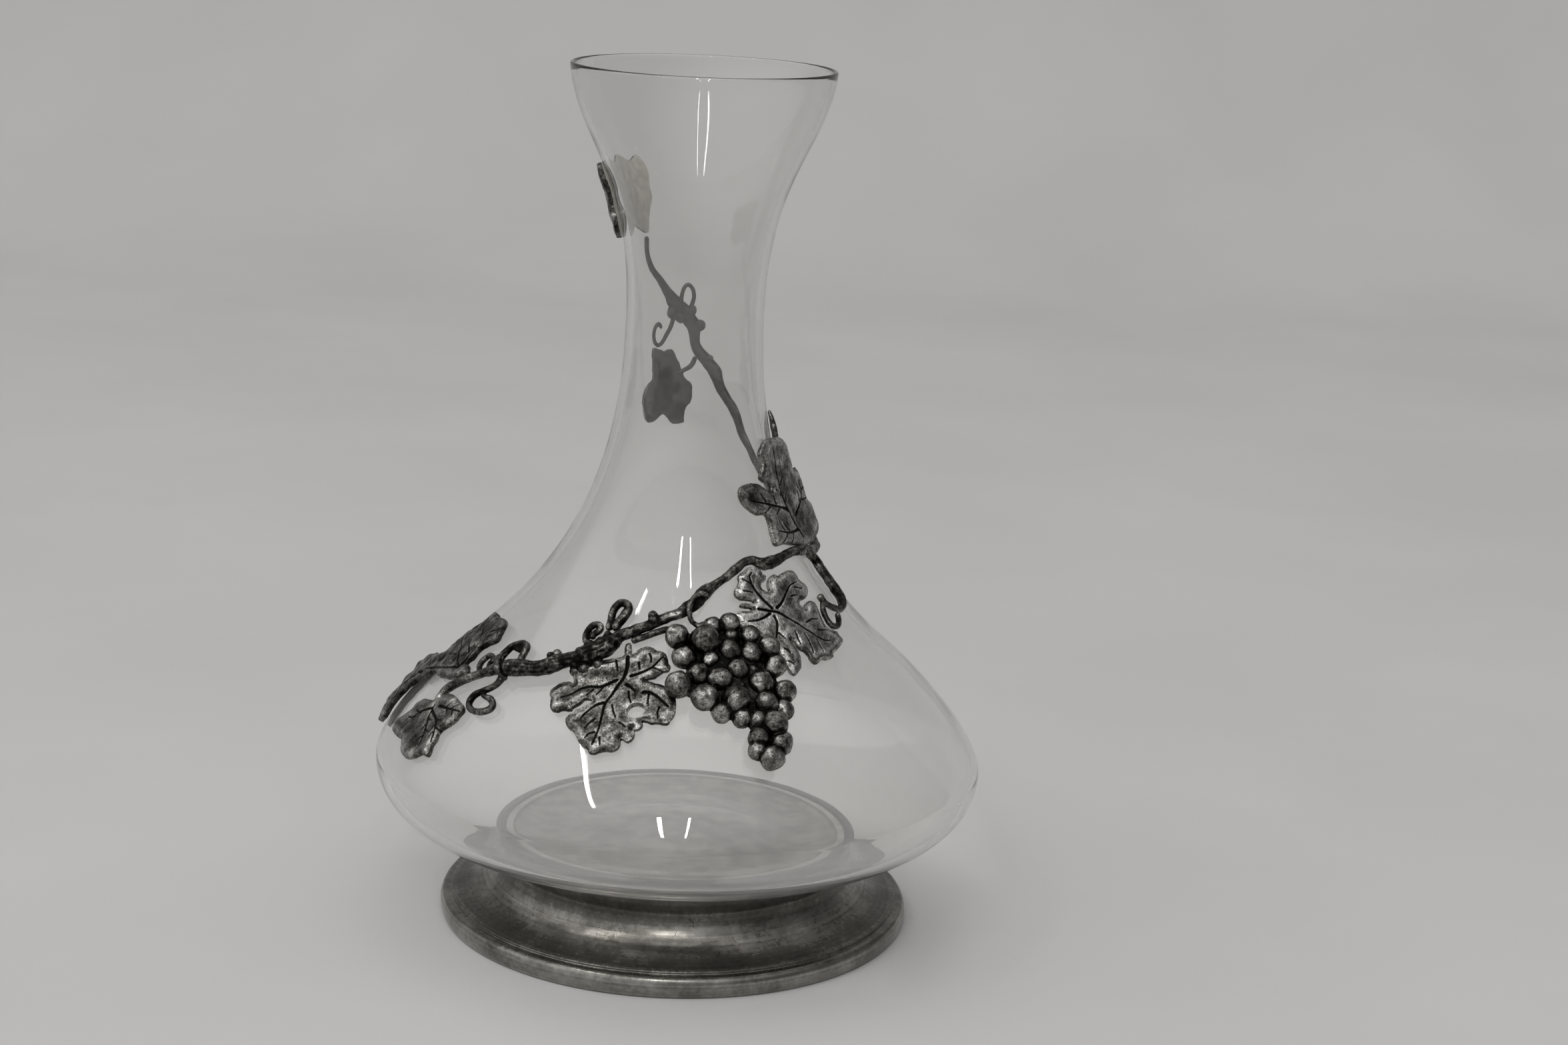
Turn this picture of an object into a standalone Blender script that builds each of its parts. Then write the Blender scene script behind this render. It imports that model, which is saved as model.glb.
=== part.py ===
"""Glass wine carafe cemented into a turned pewter foot, with a cast pewter vine laid round it.

Metres, +Z up. The origin is on the axis, in the plane that the foot rests on. The front faces -Y,
and an azimuth counts degrees from the front towards +X, so that 90 is the right side.
"""

import math

import bmesh
import bpy
from mathutils import Vector
from mathutils.geometry import delaunay_2d_cdt

# Clearances
SEAT_GAP = 0.0003
JOINT_GAP = 0.0003

# Foot: a cast and turned pewter ring with a closed deck, hollow below
FOOT_RADIUS = 0.0692
FOOT_BEAD_HEIGHT = 0.0061
FOOT_TREAD_WIDTH = 0.0042
FOOT_GROOVE_DEPTH = 0.0017
FOOT_GROOVE_WIDTH = 0.0008
FOOT_WAIST_RADIUS = 0.0526
FOOT_WAIST_HEIGHT = 0.0190
FOOT_WALL = 0.0024
DECK_HEIGHT = 0.0196
DECK_THICKNESS = 0.0018
COLLAR_RADIUS = 0.0536
COLLAR_EDGE = 0.0004

# Bed of clear cement between the deck and the underside of the glass, at its thin outer edge
CEMENT_THICKNESS = 0.0011

# Glass: the heights of the profile's knots are above the resting plane
HEEL_RADIUS = 0.0485
HEEL_DEPTH = 0.0023
HEEL_FILLET = 0.0006
PUNT_RISE = 0.0025
UNDERSIDE_SLOPE = 12.6
UNDERSIDE_SWEEP = 0.0235
BELLY_RADIUS = 0.0886
BELLY_HEIGHT = 0.0486
BELLY_SWEEP_BELOW = 0.0153
BELLY_SWEEP_ABOVE = 0.0069
SHOULDER_RADIUS = 0.0644
SHOULDER_HEIGHT = 0.0797
SHOULDER_LEAN = 49.3
SHOULDER_SWEEP_BELOW = 0.0090
SHOULDER_SWEEP_ABOVE = 0.0447
NECK_RADIUS = 0.0196
NECK_HEIGHT = 0.1805
NECK_SWEEP_BELOW = 0.0418
NECK_SWEEP_ABOVE = 0.0406
RIM_RADIUS = 0.0374
RIM_HEIGHT = 0.2500
RIM_FLARE = 6.3
RIM_SWEEP = 0.0216
GLASS_WALL = 0.0022
GLASS_LIP = 0.0014
GLASS_FLOOR = 0.0045

# Vine: azimuth and height of the knob that the branches start from, and their lengths
KNOB_AZIMUTH = 66.8
KNOB_HEIGHT = 0.1147
SHOULDER_BRANCH_LENGTH = 0.0641
LOWER_BRANCH_LENGTH = 0.0633
NECK_BRANCH_LENGTH = 0.1232

# Vine: thickness of the castings
LEAF_EDGE = 0.0009
LEAF_THICKNESS = 0.0018
LEAF_CROWN_WIDTH = 0.0035
VEIN_DEPTH = 0.0006
BRANCH_RADIUS = 0.0013
TENDRIL_RADIUS = 0.0007
GRAPE_DIAMETER = 0.0063
GRAPE_PITCH = 0.0054
BUNCH_CORE = 0.0034

# Vine: reach of each leaf from its stalk to its farthest tip
LEAF_FRONT_REACH = 0.0280
LEAF_GRAPES_REACH = 0.0254
LEAF_SHOULDER_REACH = 0.0317
LEAF_SMALL_REACH = 0.0195
LEAF_SIDE_REACH = 0.0517
LEAF_NECK_BACK_REACH = 0.0226
LEAF_NECK_LEFT_REACH = 0.0279

# Vine: reach of each twig, stalk and tendril from its place on the stem that carries it
SIDE_TWIG_REACH = 0.0206
GRAPE_STALK_REACH = 0.0141
LEAF_NECK_STALK_REACH = 0.0097
FRONT_CURL_REACH = 0.0139
FRONT_SMALL_REACH = 0.0104
LEFT_WRAP_REACH = 0.0093
LEFT_SMALL_REACH = 0.0072
LEFT_CURL_REACH = 0.0156
RIGHT_LOOP_REACH = 0.0086
NECK_LOOP_REACH = 0.0095
NECK_RING_REACH = 0.0129
SHOULDER_SPIKE_REACH = 0.0372

# Facets
TURN_STEPS = 36
BRANCH_SIDES = 8
TENDRIL_SIDES = 5
BRANCH_STEP = 0.0040
TENDRIL_STEP = 0.0024
LEAF_STEP = 0.0050
GRAPE_DIVISIONS = 2
MERGE_WITHIN = 0.00001

# Finishes: colour, roughness, metallic
PEWTER_TURNED = ((0.42, 0.41, 0.40), 0.32, 1.0)
PEWTER_CAST = ((0.20, 0.195, 0.19), 0.42, 1.0)
CLEAR_GLASS = ((0.90, 0.93, 0.93), 0.02, 0.0)
CLEAR_CEMENT = ((0.78, 0.79, 0.76), 0.35, 0.0)


for old in list(bpy.data.objects):
    bpy.data.objects.remove(old, do_unlink=True)


# Objects and finishes


def make_empty(name, parent=None):
    empty = bpy.data.objects.new(name, None)
    bpy.context.scene.collection.objects.link(empty)
    empty.parent = parent
    return empty


def place_mesh(name, mesh, finish, parent, sharp_degrees):
    """One object of a mesh, with its own finish and with edges past an angle left crisp."""
    obj = bpy.data.objects.new(name, mesh)
    bpy.context.scene.collection.objects.link(obj)
    obj.parent = parent
    mesh.shade_smooth()
    mesh.set_sharp_from_angle(angle=math.radians(sharp_degrees))
    if finish:
        mesh.materials.append(make_finish(name + "_finish", *finish))
    return obj


def make_object(name, points, faces, finish, parent, origin, sharp_degrees):
    """One mesh object whose own origin stands where the piece is seated."""
    mesh = bpy.data.meshes.new(name)
    mesh.from_pydata([point - origin for point in points], [], faces)
    obj = place_mesh(name, mesh, finish, parent, sharp_degrees)
    obj.location = origin
    return obj


def make_finish(name, colour, roughness, metallic):
    material = bpy.data.materials.new(name)
    material.use_nodes = True
    shader = material.node_tree.nodes["Principled BSDF"]
    shader.inputs["Base Color"].default_value = (*colour, 1.0)
    shader.inputs["Roughness"].default_value = roughness
    shader.inputs["Metallic"].default_value = metallic
    if colour == CLEAR_GLASS[0]:
        shader.inputs["Transmission Weight"].default_value = 1.0
    return material


def make_cutter(obj):
    obj.hide_render = True
    obj.display_type = "WIRE"
    return obj


def trim(obj, cutters):
    """Cope a piece round its neighbours: each cutter is a neighbour grown by the joint's gap."""
    for cutter in cutters:
        cut = obj.modifiers.new("cope_" + cutter.name, "BOOLEAN")
        cut.operation = "DIFFERENCE"
        cut.solver = "EXACT"
        cut.object = cutter


# Curves in a plane


def bezier(start, start_handle, end_handle, end, steps):
    """Points of one cubic curve after its start, up to and with its end."""
    points = []
    for step in range(1, steps + 1):
        t = step / steps
        s = 1 - t
        points.append(
            start * s**3 + start_handle * 3 * s**2 * t + end_handle * 3 * s * t**2 + end * t**3
        )
    return points


def along(degrees):
    """Unit step outward, turned up by some degrees from level."""
    return Vector((math.cos(math.radians(degrees)), math.sin(math.radians(degrees))))


def arc(centre, radius, from_degrees, to_degrees, steps):
    turn = (to_degrees - from_degrees) / steps
    return [centre + radius * along(from_degrees + turn * step) for step in range(steps + 1)]


def revolve(name, outline, finish, parent, sharp_degrees):
    """Spin an outline of (radius, height) points about the axis; one that stays off it is a ring."""
    turned = bmesh.new()
    corners = [turned.verts.new((point.x, 0, point.y)) for point in outline]
    sides = [turned.edges.new(pair) for pair in zip(corners, corners[1:])]
    if outline[0].x > 0:
        sides.append(turned.edges.new((corners[-1], corners[0])))
    bmesh.ops.spin(
        turned,
        geom=corners + sides,
        cent=(0, 0, 0),
        axis=(0, 0, 1),
        angle=2 * math.pi,
        steps=TURN_STEPS,
        use_merge=True,
    )
    bmesh.ops.remove_doubles(turned, verts=turned.verts, dist=MERGE_WITHIN)
    bmesh.ops.recalc_face_normals(turned, faces=turned.faces)
    mesh = bpy.data.meshes.new(name)
    turned.to_mesh(mesh)
    turned.free()
    return place_mesh(name, mesh, finish, parent, sharp_degrees)


# Glass profile: outer curve from the heel up to the lip, as (radius, height)

CEMENT_BOTTOM = DECK_HEIGHT + JOINT_GAP
HEEL_BOTTOM = CEMENT_BOTTOM + CEMENT_THICKNESS + JOINT_GAP
HEEL_TOP = HEEL_BOTTOM + HEEL_DEPTH


def glass_curve(steps):
    """Outer wall from the top of the heel to the start of the lip; steps per stretch, from below."""
    heel = Vector((HEEL_RADIUS, HEEL_TOP))
    belly = Vector((BELLY_RADIUS, BELLY_HEIGHT))
    shoulder = Vector((SHOULDER_RADIUS, SHOULDER_HEIGHT))
    neck = Vector((NECK_RADIUS, NECK_HEIGHT))
    lip_drop = GLASS_LIP / 2 * (1 + math.sin(math.radians(RIM_FLARE)))
    lip = Vector((RIM_RADIUS, RIM_HEIGHT - lip_drop))
    up = Vector((0, 1))
    lean = along(90 + SHOULDER_LEAN)
    flare = along(90 - RIM_FLARE)
    underside = heel + UNDERSIDE_SWEEP * along(UNDERSIDE_SLOPE)
    points = [heel]
    points += bezier(heel, underside, belly - BELLY_SWEEP_BELOW * up, belly, steps[0])
    points += bezier(
        belly,
        belly + BELLY_SWEEP_ABOVE * up,
        shoulder - SHOULDER_SWEEP_BELOW * lean,
        shoulder,
        steps[1],
    )
    points += bezier(
        shoulder,
        shoulder + SHOULDER_SWEEP_ABOVE * lean,
        neck - NECK_SWEEP_BELOW * up,
        neck,
        steps[2],
    )
    points += bezier(neck, neck + NECK_SWEEP_ABOVE * up, lip - RIM_SWEEP * flare, lip, steps[3])
    return points


def normals_of(points):
    """Unit normals on the right-hand side of a run of points."""
    normals = []
    for i in range(len(points)):
        run = points[min(i + 1, len(points) - 1)] - points[max(i - 1, 0)]
        normals.append(Vector((run.y, -run.x)).normalized())
    return normals


OUTER = glass_curve((5, 4, 9, 6))
OUTER_NORMALS = normals_of(OUTER)


def wall_thickness(height):
    """Wall of the glass at a height: it thins from the neck up to the lip."""
    share = max(0.0, (height - NECK_HEIGHT) / (OUTER[-1].y - NECK_HEIGHT))
    return GLASS_WALL + (GLASS_LIP - GLASS_WALL) * share


def punt_curve():
    """Hollow underside of the glass, from its tread to the axis."""
    tread = Vector((HEEL_RADIUS - HEEL_FILLET - HEEL_DEPTH, HEEL_BOTTOM))
    punt = Vector((0, HEEL_BOTTOM + PUNT_RISE))
    level = Vector((HEEL_RADIUS / 2, 0))
    return [tread] + bezier(tread, tread - level, punt + level, punt, 3)


def make_glass(parent):
    wall = glass_curve((3, 3, 6, 4))
    inner = []
    for point, normal in zip(wall, normals_of(wall)):
        inner.append(point - wall_thickness(point.y) * normal)
    floor_top = Vector((0, HEEL_BOTTOM + PUNT_RISE + GLASS_FLOOR))
    level = Vector((HEEL_RADIUS / 2, 0))
    floor = [floor_top] + bezier(
        floor_top,
        floor_top + level,
        inner[0] - (HEEL_RADIUS / 2) * along(UNDERSIDE_SLOPE),
        inner[0],
        2,
    )
    lip_centre = OUTER[-1] - GLASS_LIP / 2 * OUTER_NORMALS[-1]
    lip = arc(lip_centre, GLASS_LIP / 2, 180 - RIM_FLARE, -RIM_FLARE, 3)[1:-1]
    heel_low = Vector((HEEL_RADIUS, HEEL_BOTTOM + HEEL_FILLET))
    heel_in = Vector((HEEL_RADIUS - HEEL_FILLET, HEEL_BOTTOM))
    outline = floor + inner[1:] + lip + OUTER[::-1] + [heel_low, heel_in] + punt_curve()
    return revolve("glass_body", outline, CLEAR_GLASS, parent, 50)


def make_foot(parent):
    collar_in = HEEL_RADIUS + FOOT_WALL
    slope = math.tan(math.radians(UNDERSIDE_SLOPE))
    collar_top = HEEL_TOP + (collar_in - HEEL_RADIUS) * slope - SEAT_GAP
    collar_low = (FOOT_WAIST_HEIGHT + collar_top) / 2
    bead_radius = FOOT_BEAD_HEIGHT / 2
    groove_radius = FOOT_RADIUS - bead_radius / 2 - FOOT_GROOVE_DEPTH
    groove_top = FOOT_BEAD_HEIGHT + FOOT_GROOVE_WIDTH
    tread_out = FOOT_RADIUS - bead_radius / 2
    waist = Vector((FOOT_WAIST_RADIUS, FOOT_WAIST_HEIGHT))
    cyma_low = Vector((groove_radius, groove_top))
    drop = FOOT_WAIST_HEIGHT - groove_top
    sweep = (groove_radius - FOOT_WAIST_RADIUS) * 0.62
    cyma = bezier(
        waist, waist - Vector((0, drop * 0.55)), cyma_low + sweep * along(168), cyma_low, 5
    )
    bead = bezier(
        Vector((tread_out, FOOT_BEAD_HEIGHT)),
        Vector((FOOT_RADIUS + bead_radius / 6, FOOT_BEAD_HEIGHT)),
        Vector((FOOT_RADIUS + bead_radius / 6, 0)),
        Vector((tread_out, 0)),
        4,
    )
    tread_in = tread_out - FOOT_TREAD_WIDTH
    rising = cyma[::-1] + [waist]
    cavity = [point - FOOT_WALL * normal for point, normal in zip(rising, normals_of(rising))]
    cavity_top = DECK_HEIGHT - DECK_THICKNESS
    hollow = [point for point in cavity[::2] if point.y < cavity_top - FOOT_WALL]
    outline = [
        Vector((0, DECK_HEIGHT)),
        Vector((collar_in, DECK_HEIGHT)),
        Vector((collar_in, collar_top - COLLAR_EDGE)),
        Vector((collar_in + COLLAR_EDGE, collar_top)),
        Vector((COLLAR_RADIUS - COLLAR_EDGE, collar_top)),
        Vector((COLLAR_RADIUS, collar_top - COLLAR_EDGE)),
        Vector((COLLAR_RADIUS, collar_low)),
        waist,
    ]
    outline += cyma
    outline += [Vector((groove_radius, FOOT_BEAD_HEIGHT)), Vector((tread_out, FOOT_BEAD_HEIGHT))]
    outline += bead
    outline += [Vector((tread_in, 0)), Vector((tread_in - FOOT_WALL / 4, FOOT_WALL / 2))]
    outline += hollow
    outline += [
        Vector((hollow[-1].x - FOOT_WALL / 2, cavity_top)),
        Vector((0, cavity_top)),
    ]
    return revolve("foot", outline, PEWTER_TURNED, parent, 40)


def make_cement(parent):
    outer = HEEL_RADIUS - HEEL_FILLET
    outline = [point - Vector((0, JOINT_GAP)) for point in punt_curve()[::-1]]
    outline += [
        Vector((outer, CEMENT_BOTTOM + CEMENT_THICKNESS)),
        Vector((outer, CEMENT_BOTTOM)),
        Vector((0, CEMENT_BOTTOM)),
    ]
    return revolve("cement_bed", outline, CLEAR_CEMENT, parent, 30)


# Places on the outside of the glass

OUTER_RUN = [0.0]
for low, high in zip(OUTER, OUTER[1:]):
    OUTER_RUN.append(OUTER_RUN[-1] + (high - low).length)


def profile_at(run):
    """Point and outward normal of the outer wall at a length along its profile from the heel."""
    run = min(max(run, 0.0), OUTER_RUN[-1])
    i = 0
    while i < len(OUTER_RUN) - 2 and OUTER_RUN[i + 1] < run:
        i += 1
    share = (run - OUTER_RUN[i]) / (OUTER_RUN[i + 1] - OUTER_RUN[i])
    point = OUTER[i].lerp(OUTER[i + 1], share)
    return point, OUTER_NORMALS[i].lerp(OUTER_NORMALS[i + 1], share).normalized()


def run_at(height):
    """Length along the profile up to a height."""
    i = 0
    while i < len(OUTER) - 2 and OUTER[i + 1].y < height:
        i += 1
    share = (height - OUTER[i].y) / (OUTER[i + 1].y - OUTER[i].y)
    return OUTER_RUN[i] + share * (OUTER_RUN[i + 1] - OUTER_RUN[i])


def spin(flat, azimuth):
    """A vector of (radius, height) turned to an azimuth in radians."""
    return Vector((flat.x * math.sin(azimuth), -flat.x * math.cos(azimuth), flat.y))


def moved(seat, across, up):
    """Seat some way across (to the right, seen from outside) and up from another, along the glass.

    A seat is an azimuth in degrees and a length along the profile.
    """
    run = seat[1] + up
    return seat[0] + math.degrees(across / profile_at(run)[0].x), run


def on_glass(seat, lift):
    point, normal = profile_at(seat[1])
    return spin(point + lift * normal, math.radians(seat[0]))


# Stems: places of (azimuth, run, thickness), where a thickness of 1 is the plain stem's radius


def branch_route(seat, length, steps):
    """Places of a branch that goes on step by step from a seat; the steps are shares of its length."""
    places = []
    for across, up, thick in steps:
        seat = moved(seat, across * length, up * length)
        places.append((*seat, thick))
    return places


def side_route(seat, reach, route):
    """Places of a side shoot from its steps across and up from a seat, as shares of its reach."""
    return [(*moved(seat, across * reach, up * reach), thick) for across, up, thick in route]


def catmull(before, start, end, after, t):
    """Smooth step between two places of a route, steered by the places on either side."""
    blend = []
    for a, b, c, d in zip(before, start, end, after):
        square = 2 * a - 5 * b + 4 * c - d
        cube = 3 * b - a - 3 * c + d
        blend.append(0.5 * (2 * b + (c - a) * t + square * t**2 + cube * t**3))
    return blend


def stem_points(places, radius, step):
    """Centre, outward normal and radius along a stem that lies on the glass."""
    fine = []
    for i in range(len(places) - 1):
        before, after = places[max(i - 1, 0)], places[min(i + 2, len(places) - 1)]
        span = on_glass(places[i + 1], 0) - on_glass(places[i], 0)
        pieces = max(1, round(span.length / step))
        for piece in range(pieces):
            fine.append(catmull(before, places[i], places[i + 1], after, piece / pieces))
    fine.append(places[-1])
    points = []
    for azimuth, run, thick in fine:
        centre = on_glass((azimuth, run), SEAT_GAP + radius * thick)
        normal = spin(profile_at(run)[1], math.radians(azimuth))
        points.append((centre, normal, radius * thick))
    return points


def tube(name, points, grow, sides, finish, parent):
    """Round bar through points, with domed ends; grown all round when it is a cutter."""
    rings = []
    for i, (centre, normal, radius) in enumerate(points):
        run = points[min(i + 1, len(points) - 1)][0] - points[max(i - 1, 0)][0]
        run.normalize()
        out = (normal - normal.dot(run) * run).normalized()
        rings.append((centre, run, out, run.cross(out), radius + grow))
    corners = []
    for centre, run, out, side, radius in rings:
        for k in range(sides):
            turn = 2 * math.pi * k / sides
            corners.append(centre + radius * (math.cos(turn) * out + math.sin(turn) * side))
    first, last = rings[0], rings[-1]
    corners.append(first[0] - first[1] * (first[4] * 0.5))
    corners.append(last[0] + last[1] * (last[4] * 0.5))
    faces = []
    for i in range(len(rings) - 1):
        for k in range(sides):
            a = i * sides + k
            b = i * sides + (k + 1) % sides
            faces.append((a, b, b + sides, a + sides))
    end = (len(rings) - 1) * sides
    for k in range(sides):
        faces.append(((k + 1) % sides, k, len(corners) - 2))
        faces.append((end + k, end + (k + 1) % sides, len(corners) - 1))
    return make_object(name, corners, faces, finish, parent, points[0][0], 60)


class Stem:
    """A cast stem, with the cutter that its neighbours are coped with."""

    def __init__(self, name, places, radius, sides, step, parent):
        points = stem_points(places, radius, step)
        self.places = places
        self.solid = tube(name, points, 0.0, sides, PEWTER_CAST, parent)
        self.cutter = make_cutter(tube(name + "_cutter", points, JOINT_GAP, sides, None, parent))

    def seat(self, number):
        return self.places[number][:2]


def branch(name, places, parent):
    return Stem(name, places, BRANCH_RADIUS, BRANCH_SIDES, BRANCH_STEP, parent)


def tendril(name, places, parent):
    return Stem(name, places, TENDRIL_RADIUS, TENDRIL_SIDES, TENDRIL_STEP, parent)


# Leaves: a margin of (bearing, reach) corners round the stalk; bearing 0 is up, 90 to the right


def flat_point(bearing, reach):
    return Vector((reach * math.sin(math.radians(bearing)), reach * math.cos(math.radians(bearing))))


def stalk_end(seat, bearing, length):
    """Seat at the end of a leaf's stalk that leaves a stem at a bearing."""
    return moved(seat, *flat_point(bearing, length))


def scalloped(corners):
    """Closed margin with a low outward bow between corners that stand apart."""
    margin = []
    for i, corner in enumerate(corners):
        span = corners[(i + 1) % len(corners)] - corner
        margin.append(corner)
        if span.length > LEAF_STEP * 0.55:
            bow = Vector((-span.y, span.x)) * 0.08
            margin.append(corner + span / 2 + bow)
    return margin


def inside(point, ring):
    crossed = False
    for i, a in enumerate(ring):
        b = ring[i - 1]
        if (a.y > point.y) != (b.y > point.y):
            if point.x < a.x + (point.y - a.y) / (b.y - a.y) * (b.x - a.x):
                crossed = not crossed
    return crossed


def gap_to(point, ring):
    """Distance from a point to a closed ring of points."""
    nearest = math.inf
    for i, a in enumerate(ring):
        b = ring[i - 1]
        share = max(0.0, min(1.0, (point - a).dot(b - a) / (b - a).length_squared))
        nearest = min(nearest, (a + share * (b - a) - point).length)
    return nearest


def plate(name, seat, rings, lines, low, high, finish, parent):
    """Sheet laid on the glass inside the first ring, with holes at the others and creases along lines.

    low and high give the lift of its two faces at a point of the flat sheet.
    """
    points = [point for ring in rings for point in ring]
    edges = []
    start = 0
    for ring in rings:
        edges += [(start + i, start + (i + 1) % len(ring)) for i in range(len(ring))]
        start += len(ring)
    for line in lines:
        edges += [(len(points) + i, len(points) + i + 1) for i in range(len(line) - 1)]
        points += line
    reach = max(point.length for point in rings[0])
    count = int(reach / LEAF_STEP) + 1
    for row in range(-count, count + 1):
        for column in range(-count, count + 1):
            spot = Vector(((column + row % 2 / 2) * LEAF_STEP, row * LEAF_STEP * 0.87))
            clear = all(gap_to(spot, ring) > LEAF_STEP * 0.4 for ring in rings)
            free = all((spot - point).length > LEAF_STEP * 0.45 for line in lines for point in line)
            if clear and free and inside(spot, rings[0]) and not any(inside(spot, r) for r in rings[1:]):
                points.append(spot)
    unit = 1000
    spots, _, triangles, _, _, _ = delaunay_2d_cdt([p * unit for p in points], edges, [], 0, 1e-5)
    spots = [spot / unit for spot in spots]
    kept = []
    for triangle in triangles:
        middle = sum((spots[i] for i in triangle), Vector((0, 0))) / 3
        if inside(middle, rings[0]) and not any(inside(middle, ring) for ring in rings[1:]):
            kept.append(triangle)
    used = sorted({i for triangle in kept for i in triangle})
    number = {old: new for new, old in enumerate(used)}
    count = len(used)
    corners = [on_glass(moved(seat, *spots[i]), high(spots[i])) for i in used]
    corners += [on_glass(moved(seat, *spots[i]), low(spots[i])) for i in used]
    top = [tuple(number[i] for i in triangle) for triangle in kept]
    sides = {}
    for a, b, c in top:
        for edge in ((a, b), (b, c), (c, a)):
            sides[edge] = True
    faces = top + [(c + count, b + count, a + count) for a, b, c in top]
    for a, b in sides:
        if (b, a) not in sides:
            faces += [(b, a, a + count), (b, a + count, b + count)]
    return make_object(name, corners, faces, finish, parent, on_glass(seat, SEAT_GAP), 40)


def make_leaf(name, seat, reach, corners, vein_tips, parent, stand_off=(0.0, 0.0), hole=None):
    """Lobed leaf cast with sunk veins; stand_off is its rise from the glass to the left and right."""
    margin = scalloped([flat_point(bearing, share * reach) for bearing, share in corners])
    rings = [margin]
    if hole:
        centre = flat_point(hole[0], hole[1] * reach)
        rings.append([centre + hole[2] * reach * along(45 * k) for k in range(8)])
    lines = []
    for bearing, share in vein_tips:
        pieces = max(2, round(share * reach / LEAF_STEP))
        first = 0 if not lines else 1
        lines.append([flat_point(bearing, share * reach * k / pieces) for k in range(first, pieces + 1)])
    veins = [point for line in lines for point in line]

    def low(spot):
        side = stand_off[1] if spot.x > 0 else stand_off[0]
        return SEAT_GAP + side * abs(spot.x)

    def high(spot):
        crown = min(1.0, min(gap_to(spot, ring) for ring in rings) / LEAF_CROWN_WIDTH)
        sunk = VEIN_DEPTH if min((spot - vein).length for vein in veins) < LEAF_STEP / 100 else 0.0
        return low(spot) + LEAF_EDGE + (LEAF_THICKNESS - LEAF_EDGE) * crown - sunk * crown

    return plate(name, seat, rings, lines, low, high, PEWTER_CAST, parent)


# Grapes: (across, down, size); the places are in pitches from the top of the bunch

GRAPES = (
    (-1.03, 0.23, 0.99), (0.22, 0.41, 1.16), (0.68, -0.52, 0.81), (1.54, -0.61, 0.87),
    (1.64, 0.13, 0.76), (2.52, 0.15, 0.90), (1.46, 0.97, 0.93), (2.53, 1.19, 0.93),
    (3.46, 0.97, 0.99), (-0.74, 1.36, 0.98), (0.54, 1.42, 0.81), (3.82, 2.04, 0.93),
    (-0.13, 2.28, 0.89), (1.85, 2.11, 0.92), (0.94, 2.65, 0.98), (-1.07, 3.03, 1.06),
    (2.95, 2.98, 1.01), (2.57, 2.20, 0.75), (4.27, 3.58, 0.93), (0.17, 3.77, 1.09),
    (1.66, 3.95, 1.12), (3.23, 4.19, 0.95), (4.22, 4.57, 0.83), (1.02, 4.50, 0.86),
    (1.99, 4.84, 0.86), (2.75, 5.03, 0.86), (3.58, 5.39, 1.03), (2.79, 5.97, 0.86),
    (3.91, 6.43, 0.94), (2.72, 6.66, 0.80), (3.38, 7.17, 0.97),
)
BUNCH_EDGE = (
    (-1.03, 0.23), (0.68, -0.52), (1.54, -0.61), (2.52, 0.15), (3.46, 0.97), (3.82, 2.04),
    (4.27, 3.58), (4.22, 4.57), (3.58, 5.39), (3.91, 6.43), (3.38, 7.17), (2.72, 6.66),
    (2.79, 5.97), (2.75, 5.03), (1.99, 4.84), (1.02, 4.50), (0.17, 3.77), (-1.07, 3.03),
    (-0.13, 2.28), (-0.74, 1.36),
)
BUNCH_STACK = 0.60


def bunch_solids(tag, seat, grow, parent):
    """Core of the bunch, and its grapes, each grown by the same amount when they are cutters."""
    edge = [Vector((across, -down)) * GRAPE_PITCH for across, down in BUNCH_EDGE]
    middle = sum(edge, Vector((0, 0))) / len(edge)
    ring = [point + (point - middle).normalized() * grow for point in edge]

    def core_low(spot):
        return SEAT_GAP - grow

    def core_high(spot):
        rise = min(1.0, gap_to(spot, ring) / GRAPE_PITCH)
        return SEAT_GAP + BUNCH_CORE * (1 + rise) / 2 + grow

    finish = None if tag else PEWTER_CAST
    core = plate("grape_bunch" + tag, seat, [ring], [], core_low, core_high, finish, parent)
    grapes = []
    for number, (across, down, size) in enumerate(GRAPES):
        radius = size * GRAPE_DIAMETER / 2
        lift = SEAT_GAP + radius + max(0.0, size - 0.8) * BUNCH_STACK * GRAPE_DIAMETER
        centre = on_glass(moved(seat, across * GRAPE_PITCH, -down * GRAPE_PITCH), lift)
        ball = bmesh.new()
        bmesh.ops.create_icosphere(ball, subdivisions=GRAPE_DIVISIONS, radius=radius + grow)
        mesh = bpy.data.meshes.new("grape")
        ball.to_mesh(mesh)
        ball.free()
        grape = bpy.data.objects.new(f"grape{tag}_{number:02d}", mesh)
        grape.location = centre
        grape.parent = parent
        grapes.append(make_cutter(grape))
    return core, grapes


def gather(name, members):
    """Collection of helper solids for one Boolean."""
    group = bpy.data.collections.new(name)
    bpy.context.scene.collection.children.link(group)
    for member in members:
        for shelf in member.users_collection:
            shelf.objects.unlink(member)
        group.objects.link(member)
    return group


def group_boolean(obj, group, operation):
    join = obj.modifiers.new(group.name, "BOOLEAN")
    join.operation = operation
    join.solver = "EXACT"
    join.operand_type = "COLLECTION"
    join.collection = group


# Assembly

carafe = make_empty("carafe")
foot = make_foot(carafe)
cement = make_cement(carafe)
glass = make_glass(carafe)
garland = make_empty("garland", carafe)

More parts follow.
